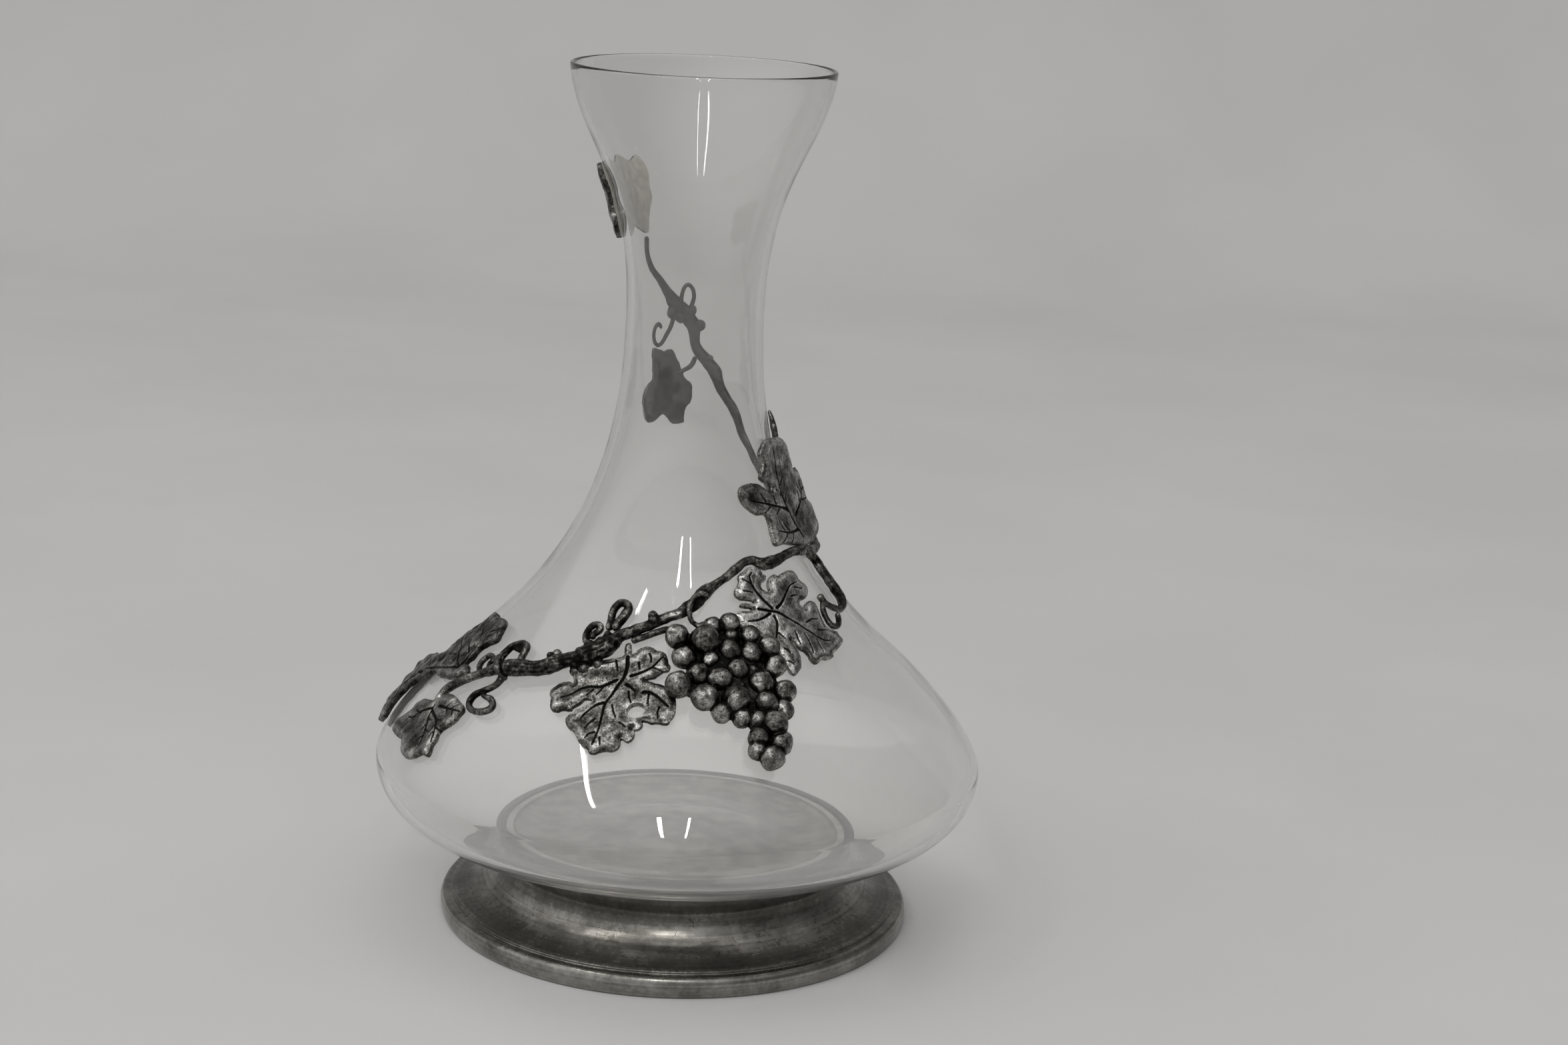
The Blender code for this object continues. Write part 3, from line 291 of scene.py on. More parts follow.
HEEL_FILLET = 0.0006
PUNT_RISE = 0.0025
CEMENT_BITE = 0.00005
CEMENT_ROUNDING = 0.0002


def set_cement():
    material, shader, place = new_material("set_cement", IOR=1.52)
    cloud = noise(place, Scale=160.0, Detail=4.0)
    colour = ramp(cloud, ((0.35, (0.30, 0.29, 0.275)), (0.65, (0.42, 0.41, 0.395))))
    link(colour, shader.inputs["Base Color"])
    link(ramp(cloud, ((0.3, 0.60), (0.7, 0.45))), shader.inputs["Roughness"])
    return material


half_heel = HEEL_RADIUS / 2
tread = HEEL_RADIUS - HEEL_FILLET - HEEL_DEPTH
punt = np.vstack(([(tread, HEEL_BOTTOM)], curve(
    (tread, HEEL_BOTTOM), (tread - half_heel, HEEL_BOTTOM),
    (half_heel, HEEL_BOTTOM + PUNT_RISE), (0, HEEL_BOTTOM + PUNT_RISE), 16,
)))
cement_low = DECK_HEIGHT + JOINT_GAP
cement_out = collar_in - JOINT_GAP
cement = turn_on_lathe("cement_bed_poured", np.vstack((
    punt[::-1] + (0, CEMENT_BITE),
    [(HEEL_RADIUS - HEEL_FILLET, HEEL_BOTTOM + CEMENT_BITE)],
    [(HEEL_RADIUS - CEMENT_BITE, HEEL_BOTTOM + HEEL_FILLET), (HEEL_RADIUS - CEMENT_BITE, HEEL_TOP)],
    [(cement_out, collar_top - JOINT_GAP)],
    [(cement_out, cement_low), (0, cement_low)],
)))
apply_modifier(cement, "BEVEL", width=CEMENT_ROUNDING, segments=2, limit_method="ANGLE", angle_limit=0.6)
finish_turned(cement, set_cement(), "cement_bed")

# Carafe: one piece of clear blown glass, with a wide flat belly, a long waisted neck and a lip that
# was rounded in the fire. Its heel sits in the collar of the foot.

UNDERSIDE_SWEEP = 0.0235
BELLY_RADIUS = 0.0886
BELLY_HEIGHT = 0.0486
BELLY_SWEEP_BELOW = 0.0153
BELLY_SWEEP_ABOVE = 0.0069
SHOULDER_RADIUS = 0.0644
SHOULDER_HEIGHT = 0.0797
SHOULDER_LEAN = math.radians(49.3)
SHOULDER_SWEEP_BELOW = 0.0090
SHOULDER_SWEEP_ABOVE = 0.0447
NECK_RADIUS = 0.0196
NECK_HEIGHT = 0.1805
NECK_SWEEP_BELOW = 0.0418
NECK_SWEEP_ABOVE = 0.0406
RIM_RADIUS = 0.0374
RIM_HEIGHT = 0.2500
RIM_FLARE = math.radians(6.3)
RIM_SWEEP = 0.0216
GLASS_WALL = 0.0022
GLASS_LIP = 0.0014
GLASS_FLOOR = 0.0045


def glass_wall():
    """Outer wall from the top of the heel to the start of the lip, as (radius, height)."""
    heel = np.array((HEEL_RADIUS, HEEL_TOP))
    belly = np.array((BELLY_RADIUS, BELLY_HEIGHT))
    shoulder = np.array((SHOULDER_RADIUS, SHOULDER_HEIGHT))
    neck = np.array((NECK_RADIUS, NECK_HEIGHT))
    lip = np.array((RIM_RADIUS, RIM_HEIGHT - GLASS_LIP / 2 * (1 + math.sin(RIM_FLARE))))
    up = np.array((0, 1))
    lean = np.array((-math.sin(SHOULDER_LEAN), math.cos(SHOULDER_LEAN)))
    out = np.array((math.sin(RIM_FLARE), math.cos(RIM_FLARE)))
    below = np.array((math.cos(UNDERSIDE_SLOPE), math.sin(UNDERSIDE_SLOPE)))
    return np.vstack((
        [heel],
        curve(heel, heel + UNDERSIDE_SWEEP * below, belly - BELLY_SWEEP_BELOW * up, belly, 36),
        curve(belly, belly + BELLY_SWEEP_ABOVE * up, shoulder - SHOULDER_SWEEP_BELOW * lean, shoulder, 30),
        curve(shoulder, shoulder + SHOULDER_SWEEP_ABOVE * lean, neck - NECK_SWEEP_BELOW * up, neck, 52),
        curve(neck, neck + NECK_SWEEP_ABOVE * up, lip - RIM_SWEEP * out, lip, 40),
    ))


def outward(wall):
    """Unit normals on the outside of a wall that rises."""
    run = np.gradient(wall, axis=0)
    normal = np.stack((run[:, 1], -run[:, 0]), axis=1)
    return normal / np.linalg.norm(normal, axis=1)[:, None]


def carafe_glass():
    """Clear glass with a dull film low down and the faint waves of blown work; lamps shine through it."""
    material, shader, place = new_material(
        "carafe_glass", IOR=1.5, Roughness=0.0, Base_Color=(0.920, 0.913, 0.905, 1)
    )
    film = ramp(pattern(place, "SeparateXYZ")["Z"], ((0.03, 0.955), (0.09, 0.97), (0.14, 1.0)))
    link(film, shader.inputs["Transmission Weight"])
    squeezed = pattern(place, "Mapping", Scale=(1.0, 1.0, 2.5))[0]
    roughen(shader, noise(squeezed, Scale=22.0, Detail=1.0), Strength=0.08, Distance=0.002)
    tree = material.node_tree
    passing = add_node(tree, "BsdfTransparent", Color=(0.91, 0.905, 0.90, 1))
    mix = add_node(tree, "MixShader")
    link(add_node(tree, "LightPath").outputs["Is Shadow Ray"], mix.inputs[0])
    link(shader.outputs[0], mix.inputs[1])
    link(passing.outputs[0], mix.inputs[2])
    link(mix.outputs[0], tree.nodes["Material Output"].inputs["Surface"])
    return material


WALL = glass_wall()
WALL_NORMAL = outward(WALL)
thinning = np.clip((WALL[:, 1] - NECK_HEIGHT) / (WALL[-1, 1] - NECK_HEIGHT), 0, 1)
inner = WALL - (GLASS_WALL + (GLASS_LIP - GLASS_WALL) * thinning)[:, None] * WALL_NORMAL
floor_top = (0, HEEL_BOTTOM + PUNT_RISE + GLASS_FLOOR)
below = half_heel * np.array((math.cos(UNDERSIDE_SLOPE), math.sin(UNDERSIDE_SLOPE)))
glass_floor = curve(floor_top, (half_heel, floor_top[1]), inner[0] - below, inner[0], 20)
lip_centre = (WALL[-1] + inner[-1]) / 2
lip_turn = np.linspace(math.pi - RIM_FLARE, -RIM_FLARE, 11)[1:-1]
lip = lip_centre + GLASS_LIP / 2 * np.stack((np.cos(lip_turn), np.sin(lip_turn)), axis=1)
glass = turn_on_lathe("carafe_glass", np.vstack((
    [floor_top], glass_floor, inner[1:], lip, WALL[::-1],
    [(HEEL_RADIUS, HEEL_BOTTOM + HEEL_FILLET), (HEEL_RADIUS - HEEL_FILLET, HEEL_BOTTOM)],
    punt,
)))
finish_turned(glass, carafe_glass(), "glass_body")

# Branches: four stems of the vine, cast in soft pewter and bent by hand to lie on the glass, with knots
# and bark. Their hollows are darkened with patina and painted shade, they are worn bright on top, and they
# are stuck down with adhesive.

KNOB_AZIMUTH = 66.8
KNOB_HEIGHT = 0.1147
SHOULDER_BRANCH_LENGTH = 0.0641
LOWER_BRANCH_LENGTH = 0.0633
NECK_BRANCH_LENGTH = 0.1232
SIDE_TWIG_REACH = 0.0206
BRANCH_RADIUS = 0.0013
SEAT_GAP = 0.0003
STEM_STEP = 0.0004
STEM_GRAIN = 0.00022
STEM_RUBBED = -0.28
STEM_TIP = 0.02
BARK_WIDTH = 0.0009
BARK_STRETCH = 3.5
BARK_FURROW, BARK_LUMP, BARK_GRAIN = 0.17, 0.80, 0.42
BARK_LUMP_WIDTH, BARK_GRAIN_WIDTH = 0.0026, 0.0011
WIRE_RADIUS = 0.0008
WIRE_STEPS = 8
TENTHS = 10000
RELIEF_SCALES = ((8, 0.00006), (40, 0.00020), (120, 0.00042))
RELIEF_DARKEST, RELIEF_BRIGHTEST = -0.7, 0.18
BACK_FACING = -0.5


def run_along(line):
    """Length along a line of points, up to each of them."""
    return np.concatenate(([0], np.cumsum(np.linalg.norm(np.diff(line, axis=0), axis=1))))


WALL_RUN = run_along(WALL)


def wall_at(run):
    """Radius, height and outward normal of the glass at lengths along its profile from the heel."""
    return [np.interp(run, WALL_RUN, row) for row in (*WALL.T, *WALL_NORMAL.T)]


def moved(seat, across, up):
    """Seat of (azimuth, run) some way across and up from another, along the glass."""
    run = seat[1] + up
    return seat[0] + np.degrees(across / wall_at(run)[0]), run


def on_glass(seat, lift):
    """Points that stand off the glass at seats."""
    radius, height, slant, rise = wall_at(seat[1])
    azimuth = np.radians(seat[0])
    reach = radius + lift * slant
    return np.stack((reach * np.sin(azimuth), -reach * np.cos(azimuth), height + lift * rise), axis=-1)


def branch_route(seat, length, steps):
    """Places of (azimuth, run, thickness) of a branch; its steps are thousandths of its length."""
    places = []
    for across, up, thick in steps:
        seat = moved(seat, across / 1000 * length, up / 1000 * length)
        places.append((*seat, thick))
    return np.array(places)


def side_route(seat, reach, steps):
    """Places of a side shoot, each across and up from its seat in hundredths of its reach."""
    return np.array([
        (*moved(seat, across / 100 * reach, up / 100 * reach), thick) for across, up, thick in steps
    ])


def between(a, b, c, d, steps):
    """Steps on a smooth line from b towards c, which comes from a and goes on to d."""
    t = np.linspace(0, 1, steps + 1)[:-1, None]
    square = 2 * a - 5 * b + 4 * c - d
    cube = 3 * b - a - 3 * c + d
    return 0.5 * (2 * b + (c - a) * t + square * t**2 + cube * t**3)


def smooth_line(places, step):
    """Places close together on a smooth line through the given ones."""
    ends = np.vstack((places[0], places, places[-1]))
    fine = []
    for a, b, c, d in zip(ends, ends[1:], ends[2:], ends[3:]):
        span = np.linalg.norm(on_glass(c[:2], 0) - on_glass(b[:2], 0))
        fine.append(between(a, b, c, d, max(2, round(span / step))))
    return np.vstack(fine + [places[-1:]])


def mottle(places, size):
    """Smooth random relief from -1 to 1 over rows of three numbers, in lumps of some size."""
    spots = np.asarray(places) / size
    base = np.floor(spots).astype(np.int64)
    share = spots - base
    share = share * share * (3 - 2 * share)
    relief = np.zeros(len(spots))
    for corner in np.ndindex(2, 2, 2):
        mixed = (base + corner) @ np.array((73856093, 19349663, 83492791))
        mixed = ((mixed ^ (mixed >> 13)) * 1274126177) & 0x7FFFFFFF
        value = ((mixed ^ (mixed >> 15)) % 4096) / 2048 - 1
        relief += value * np.where(corner, share, 1 - share).prod(axis=1)
    return relief


def read(rows, name, width=3, kind=np.float32):
    """Numbers kept on the points, edges or faces of a piece, in a row for each."""
    values = np.empty(len(rows) * width, kind)
    rows.foreach_get(name, values)
    return values.reshape(-1, width)


def read_points(piece):
    return read(piece.data.vertices, "co", kind=float)


def read_normals(piece):
    return read(piece.data.vertex_normals, "vector").astype(float)


def write_points(piece, points):
    piece.data.vertices.foreach_set("co", np.ascontiguousarray(points, np.float32).ravel())
    piece.data.update()


def record_relief(piece, tone_shift):
    """Keep on each point how far it stands proud of its surroundings, or lies in a hollow.

    Each of the scales is a number of smoothing passes and the depth that counts in full there.
    """
    points, normals = read_points(piece), read_normals(piece)
    start, end = read(piece.data.edges, "vertices", 2, np.int32).T
    near, far = np.concatenate((start, end)), np.concatenate((end, start))
    count = np.maximum(np.bincount(near, minlength=len(points)), 1)
    smooth = points.copy()
    relief = np.zeros(len(points))
    for passes, depth in RELIEF_SCALES:
        for _ in range(passes):
            for axis in range(3):
                total = np.bincount(near, smooth[far, axis], len(points))
                smooth[:, axis] = 0.3 * smooth[:, axis] + 0.7 * total / count
        proud = ((points - smooth) * normals).sum(axis=1)
        proud = np.clip((proud - np.median(proud)) / depth, RELIEF_DARKEST, RELIEF_BRIGHTEST)
        relief += proud / len(RELIEF_SCALES)
    # The material darkens the hollows with this value as patina and painted shade, the gaps between the
    # grapes too, and brightens proud points as wear.
    layer = piece.data.attributes.new("relief", "FLOAT", "POINT")
    layer.data.foreach_set("value", (relief + tone_shift).astype(np.float32))


def cast_pewter():
    """Antique pewter: black in the hollows with patina and painted shade, grey between, silvery where it is
    worn, finely pitted.
    """
    material, shader, place = new_material("cast_pewter", Metallic=1.0)
    relief = add_node(material.node_tree, "Attribute", attribute_name="relief").outputs["Fac"]
    cloud = noise(place, Scale=210.0, Detail=5.0, Roughness=0.62)
    grit = noise(place, Scale=1700.0, Detail=3.0, Roughness=0.65)
    pits = pattern(place, "TexVoronoi", Scale=900.0, Randomness=1.0)["Distance"]
    sunk = ramp(pits, ((0.10, 0.0), (0.24, 1.0)))
    # Low relief gives patina and painted shade in the hollows; high relief gives wear.
    wear = blend((relief, 0.45), (cloud, 1.05), (grit, 0.60), plus=-0.31)
    wear = arithmetic("MULTIPLY", wear, blend((sunk, 0.30), plus=0.70))
    link(ramp(wear, (
        (0.14, (0.006, 0.006, 0.005)), (0.33, (0.030, 0.028, 0.025)), (0.48, (0.100, 0.096, 0.088)),
        (0.63, (0.270, 0.262, 0.247)), (0.82, (0.600, 0.587, 0.565)),
    )), shader.inputs["Base Color"])
    link(ramp(wear, ((0.15, 0.48), (0.45, 0.30), (0.75, 0.18))), shader.inputs["Roughness"])
    roughen(shader, blend((grit, 1.0), (sunk, 0.5)), Strength=0.70, Distance=0.00018)
    return material


def adhesive(name, dark, pale):
    """Set adhesive on the back of a casting, uneven in colour; it is seen only through the glass."""
    material, shader, place = new_material(name, Roughness=0.5)
    cloud = noise(place, Scale=420.0, Detail=4.0)
    link(ramp(cloud, ((0.35, dark), (0.68, pale))), shader.inputs["Base Color"])
    return material


CAST_PEWTER = cast_pewter()
BROWN_ADHESIVE = adhesive("adhesive_brown", (0.018, 0.016, 0.013), (0.052, 0.047, 0.039))
PALE_ADHESIVE = adhesive("adhesive_pale", (0.38, 0.365, 0.33), (0.52, 0.50, 0.455))


def finish_casting(piece, node, tone_shift, glue=BROWN_ADHESIVE):
    """Casting darkened in its hollows with patina and painted shade, shifted in tone by wear and, on
    leaves, by patina and painted shade in the veins and at the margin, and stuck on at the back, for a CAD
    node.
    """
    record_relief(piece, tone_shift)
    pick_only(piece)
    bpy.ops.object.shade_smooth()
    piece.data.materials.append(CAST_PEWTER)
    piece.data.materials.append(glue)
    centre, facing = read(piece.data.polygons, "center"), read(piece.data.polygons, "normal")
    run = np.interp(centre[:, 2], WALL[:, 1], WALL_RUN)
    slant, rise = wall_at(run)[2:]
    reach = np.linalg.norm(centre[:, :2], axis=1)
    away = (facing[:, :2] * centre[:, :2]).sum(axis=1) / reach * slant + facing[:, 2] * rise
    piece.data.polygons.foreach_set("material_index", (away < BACK_FACING).astype(np.int32))
    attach(piece, "root")
    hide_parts(node)


def knots(*rows):
    """Knobs for a stem, from rows of a place's number, a radius, and offsets across, up and off the glass.

    All but the number are in tenths of a millimetre.
    """
    return [(number, *(value / TENTHS for value in sizes)) for number, *sizes in rows]


def strand(number, *path):
    """Knobs in a row for a wire over a branch, along offsets in tenths of a millimetre."""
    path = np.array(path) / TENTHS
    share = np.linspace(0, len(path) - 1, WIRE_STEPS * len(path))
    rows = np.stack([np.interp(share, range(len(path)), column) for column in path.T], axis=1)
    return [(number, WIRE_RADIUS, *row) for row in rows]


def make_stem(node, places, radius, bark, knobs=()):
    """Round stem along places on the glass, with domed ends, bark of some depth and knobs on it."""
    line = smooth_line(places, STEM_STEP)
    thick = line[:, 2] * radius
    centres = on_glass(line.T[:2], SEAT_GAP + thick)
    run = run_along(centres)
    to_end = np.minimum(run, run[-1] - run) / thick
    dome = np.sqrt(np.maximum(STEM_TIP, 1 - (1 - np.minimum(1, to_end)) ** 2))
    stem = start_piece(bpy.ops.curve.primitive_bezier_curve_add, node + "_casting")
    stem.data.dimensions = "3D"
    stem.data.bevel_depth = 1.0
    stem.data.bevel_resolution = 4
    stem.data.use_fill_caps = True
    stem.data.splines.clear()
    spline = stem.data.splines.new("POLY")
    spline.points.add(len(centres) - 1)
    spline.points.foreach_set("co", np.c_[centres, np.ones(len(centres))].ravel())
    spline.points.foreach_set("radius", thick * dome)
    bpy.ops.object.convert(target="MESH")
    stem = bpy.context.object
    pick_only(stem)
    edit(True)
    for number, size, across, up, lift in knobs:
        spot = on_glass(moved(places[number, :2], across, up), lift)
        bpy.ops.mesh.primitive_ico_sphere_add(subdivisions=3, radius=size, location=spot)
    edit(False)
    apply_modifier(stem, "REMESH", mode="VOXEL", voxel_size=STEM_GRAIN)
    apply_modifier(stem, "SMOOTH", factor=0.5, iterations=3)
    points = read_points(stem)
    skip = 3
    nearest = np.argmin(((points[:, None, :] - centres[::skip]) ** 2).sum(axis=2), axis=1) * skip
    way = np.gradient(centres, axis=0)
    way /= np.linalg.norm(way, axis=1)[:, None]
    off = on_glass(line.T[:2], 1.0) - on_glass(line.T[:2], 0.0)
    axes = np.stack((off, np.cross(way, off), way), axis=1)[nearest]
    local = np.einsum("nij,nj->ni", axes, points - centres[nearest])
    local[:, 2] = (local[:, 2] + run[nearest]) / BARK_STRETCH
    furrow = 1 - 2 * np.abs(mottle(local, BARK_WIDTH))
    rise = BARK_FURROW * furrow + BARK_LUMP * mottle(points, BARK_LUMP_WIDTH)
    rise += BARK_GRAIN * mottle(points, BARK_GRAIN_WIDTH)
    write_points(stem, points + read_normals(stem) * (bark * thick[nearest] * rise)[:, None])
    finish_casting(stem, node, STEM_RUBBED)
    return places


knob = (KNOB_AZIMUTH, np.interp(KNOB_HEIGHT, WALL[:, 1], WALL_RUN))
shoulder_branch = branch_route(knob, SHOULDER_BRANCH_LENGTH, (
    (0, 0, 1.47), (-72, 12, 1.02), (-72, -5, 1.09), (-59, -9, 1.23), (-63, -14, 1.51), (-36, 11, 1.29),
    (-31, 17, 0.97), (-40, -5, 0.93), (-36, -22, 1.00), (-35, -26, 1.03), (-39, -25, 1.00),
    (-37, -21, 1.07), (-31, -26, 1.28), (-30, -29, 1.49), (-29, -38, 1.56), (-55, -43, 1.27),
    (-49, -22, 1.17), (-43, -22, 1.20), (-42, -27, 1.20), (-41, -24, 1.27), (-41, -26, 1.34),
))
lower_branch = branch_route(shoulder_branch[-1, :2], LOWER_BRANCH_LENGTH, (
    (-26, -18, 1.34), (-35, -55, 1.98), (-36, -36, 2.19), (-41, -28, 2.12), (-39, -25, 1.77),
    (-59, -25, 1.56), (-40, -32, 1.84), (-62, -33, 1.63), (-73, -25, 1.85), (-79, -21, 1.79),
    (-78, -32, 1.36), (-98, -61, 0.97), (-77, -69, 0.94), (-46, -65, 0.91), (5, -69, 0.87),
))
neck_branch = branch_route(knob, NECK_BRANCH_LENGTH, (
    (16, -5, 1.10), (51, -12, 1.15), (55, 5, 1.15), (47, 33, 1.15), (39, 48, 1.15), (36, 49, 1.15),
    (28, 41, 1.15), (23, 44, 1.15), (20, 34, 1.20), (16, 48, 1.25), (31, 45, 1.25), (15, 29, 1.45),
    (10, 22, 1.75), (22, 29, 1.45), (23, 31, 1.25), (8, 45, 1.65), (17, 28, 1.75), (24, 26, 1.85),
    (24, 30, 1.25), (25, 33, 0.90), (26, 28, 0.80), (17, 37, 0.75), (-3, 41, 0.70),
))
shoulder_line = np.vstack((shoulder_branch, lower_branch[:2]))
make_stem("shoulder_branch", shoulder_line, BRANCH_RADIUS, bark=0.17, knobs=(
    *knots((18, 17, 14, 18, 24), (18, 15, 10, 30, 26)),
    *strand(
        14, (28, 20, 40), (12, 23, 46), (-3, 11, 48), (-12, -9, 46), (-15, -27, 42), (-13, -45, 34),
        (-6, -58, 24), (9, -66, 18), (27, -57, 16),
    ),
))
make_stem("lower_branch", lower_branch, BRANCH_RADIUS, bark=0.17, knobs=(
    *knots(
        (1, 16, 6, 22, 22), (2, 17, -4, -20, 24), (3, 15, 10, 16, 32), (4, 13, 4, -16, 26),
        (5, 12, -29, 14, 30), (5, 11, -45, 3, 30), (2, 18, 10, -34, 16), (3, 17, 2, -36, 16),
        (4, 15, 0, -34, 14), (1, 15, -12, 30, 20), (2, 18, -6, 30, 22), (3, 18, -8, 31, 22),
        (4, 15, -4, 24, 22), (5, 12, 6, 18, 20),
    ),
    *strand(
        9, (-7, -28, 12), (-10, -30, 30), (-15, -25, 46), (-26, -10, 50), (-43, 11, 42), (-74, 38, 16)
    ),
))
make_stem("neck_branch", neck_branch, BRANCH_RADIUS, bark=0.14, knobs=knots(
    (15, 16, -21, 10, 19), (16, 16, -13, 18, 18), (16, 19, 19, -3, 18), (17, 18, 15, -21, 18),
    (13, 13, -12, 4, 18),
))
side_twig = make_stem("side_twig", side_route(shoulder_branch[0, :2], SIDE_TWIG_REACH, (
    (14, -7, 1.03), (26, -21, 1.03), (28, -34, 1.07), (32, -48, 1.07), (35, -61, 1.11), (38, -74, 1.11),
    (38, -86, 1.11), (29, -96, 1.03), (13, -99, 0.81), (1, -92, 0.73), (-11, -83, 0.73), (-16, -75, 0.77),
    (-17, -66, 0.95),
)), BRANCH_RADIUS, bark=0.16)

# Tendrils and stalks: thin cast wires of the same pewter, which curl off the branches and close on
# them again, or carry a leaf or the bunch. They are soldered to the branches at their ends.

TENDRIL_RADIUS = 0.0008
TENDRIL_BARK = 0.13
GRAPE_STALK_REACH = 0.0141
LEAF_NECK_STALK_REACH = 0.0097
FRONT_CURL_REACH = 0.0139
FRONT_SMALL_REACH = 0.0104
LEFT_WRAP_REACH = 0.0093
LEFT_SMALL_REACH = 0.0072
LEFT_CURL_REACH = 0.0156
RIGHT_LOOP_REACH = 0.0086
NECK_LOOP_REACH = 0.0095
NECK_RING_REACH = 0.0129
SHOULDER_SPIKE_REACH = 0.0372


def make_tendril(node, seat, reach, steps, knobs=()):
    return make_stem(node, side_route(seat, reach, steps), TENDRIL_RADIUS, TENDRIL_BARK, knobs)


grape_stalk = make_tendril("grape_stalk", lower_branch[0, :2], GRAPE_STALK_REACH, (
    (22, -5, 1.31), (40, 6, 1.24), (58, 16, 1.24), (73, 24, 1.24), (85, 28, 1.25), (97, 26, 1.31),
))
leaf_neck_stalk = make_tendril("leaf_neck_stalk", neck_branch[14, :2], LEAF_NECK_STALK_REACH, (
    (0, -28, 1.00), (13, -57, 1.00), (35, -72, 0.90), (56, -83, 0.80),
))
make_tendril("tendril_front_curl", lower_branch[1, :2], FRONT_CURL_REACH, (
    (-15, 36, 1.39), (-15, 55, 1.40), (-17, 71, 1.40), (-15, 86, 1.47), (-9, 97, 1.47), (-1, 100, 1.47),
    (7, 98, 1.55), (13, 89, 1.63), (11, 77, 1.71), (7, 66, 1.71), (1, 54, 1.71), (-1, 37, 1.71),
))
make_tendril("tendril_front_small", lower_branch[3, :2], FRONT_SMALL_REACH, (
    (-25, 39, 1.28), (-35, 59, 1.28), (-34, 78, 1.29), (-27, 93, 1.29), (-14, 99, 1.28), (-3, 93, 1.28),
    (-3, 81, 1.28), (-13, 70, 1.28), (-14, 53, 1.28),
))
make_tendril("tendril_left_wrap", lower_branch[9, :2], LEFT_WRAP_REACH, (
    (-54, -8, 1.38), (-79, 13, 1.39), (-82, 38, 1.39), (-75, 63, 1.39), (-57, 81, 1.39), (-34, 92, 1.38),
    (-13, 88, 1.38), (-4, 72, 1.38), (-1, 52, 1.38), (9, 29, 1.38),
), (
    *strand(5, (-16, -10, 11), (18, -12, 11)), *strand(5, (-22, -21, 10), (20, -22, 10)),
))
make_tendril("tendril_left_small", lower_branch[11, :2], LEFT_SMALL_REACH, (
    (10, 10, 1.07), (-37, 28, 1.07), (-56, 52, 1.08), (-53, 77, 1.08), (-44, 91, 1.08), (-17, 94, 1.07),
    (3, 82, 1.07), (2, 65, 1.07), (21, 43, 1.07),
))
make_tendril("tendril_left_curl", lower_branch[9, :2], LEFT_CURL_REACH, (
    (-10, -11, 1.59), (-7, -32, 1.32), (-14, -46, 1.26), (-28, -59, 1.26), (-39, -71, 1.26),
    (-41, -83, 1.26), (-35, -93, 1.26), (-20, -98, 1.26), (-2, -96, 1.25), (13, -90, 1.25),
    (21, -81, 1.25), (18, -72, 1.25), (5, -66, 1.19), (-11, -65, 1.06), (-25, -64, 1.06),
))
make_tendril("tendril_right_loop", side_twig[11, :2], RIGHT_LOOP_REACH, (
    (-2, -6, 1.08), (-25, -31, 1.08), (-35, -56, 1.08), (-37, -81, 1.08), (-26, -97, 1.08),
    (3, -99, 1.08), (25, -85, 1.08), (44, -63, 1.09),
))
make_tendril("tendril_neck_loop", neck_branch[16, :2], NECK_LOOP_REACH, (
    (22, 37, 1.00), (18, 71, 0.90), (11, 92, 0.85), (-1, 100, 0.85), (-15, 87, 0.85), (-20, 63, 0.85),
    (-14, 37, 0.90), (-4, 3, 1.00),
))
make_tendril("tendril_neck_ring", neck_branch[17, :2], NECK_RING_REACH, (
    (4, -6, 1.00), (15, -45, 0.95), (27, -66, 0.90), (38, -83, 0.85), (49, -87, 0.85), (59, -78, 0.85),
    (63, -60, 0.85), (58, -43, 0.85), (48, -39, 0.80), (40, -49, 0.70),
))
make_tendril("tendril_shoulder_spike", neck_branch[3, :2], SHOULDER_SPIKE_REACH, (
    (-5, -5, 1.10), (-4, 10, 1.10), (-7, 31, 1.10), (-10, 53, 1.10), (-11, 72, 1.15), (-10, 85, 1.20),
    (-6, 93, 1.05), (-3, 100, 0.60),
))

# Bunch: thirty-one grapes on a common backing, one solid casting with the dull skin of the mould.
# It hangs from its stalk and lies against the glass between the two front leaves.

GRAPE_DIAMETER = 0.0063
GRAPE_PITCH = 0.0054
BUNCH_CORE = 0.0042
BUNCH_STACK = 0.60
BUNCH_GRAIN = 0.00026
BUNCH_RUBBED = -0.10
BUNCH_SHEET = 0.001
BUNCH_SHEET_GRAIN = 0.0004
GRAPE_SWELL = 1.11
FLAT_GRAPE = 0.8
GRAPE_DENT, GRAPE_DENT_WIDTH = 0.00032, 0.0030
GRAPE_PIT, GRAPE_PIT_WIDTH = 0.00016, 0.0012
GRAPES = (
    (-1.03, 0.23, 0.99), (0.22, 0.41, 1.16), (0.68, -0.52, 0.81), (1.54, -0.61, 0.87),
    (1.64, 0.13, 0.76), (2.52, 0.15, 0.90), (1.46, 0.97, 0.93), (2.53, 1.19, 0.93),
    (3.46, 0.97, 0.99), (-0.74, 1.36, 0.98), (0.54, 1.42, 0.81), (3.82, 2.04, 0.93),
    (-0.13, 2.28, 0.89), (1.85, 2.11, 0.92), (0.94, 2.65, 0.98), (-1.07, 3.03, 1.06),
    (2.95, 2.98, 1.01), (2.57, 2.20, 0.75), (4.27, 3.58, 0.93), (0.17, 3.77, 1.09),
    (1.66, 3.95, 1.12), (3.23, 4.19, 0.95), (4.22, 4.57, 0.83), (1.02, 4.50, 0.86),
    (1.99, 4.84, 0.86), (2.75, 5.03, 0.86), (3.58, 5.39, 1.03), (2.79, 5.97, 0.86),
    (3.91, 6.43, 0.94), (2.72, 6.66, 0.80), (3.38, 7.17, 0.97),
)
BUNCH_EDGE = (0, 2, 3, 5, 8, 11, 18, 22, 26, 28, 30, 29, 27, 25, 24, 23, 19, 15, 12, 9)


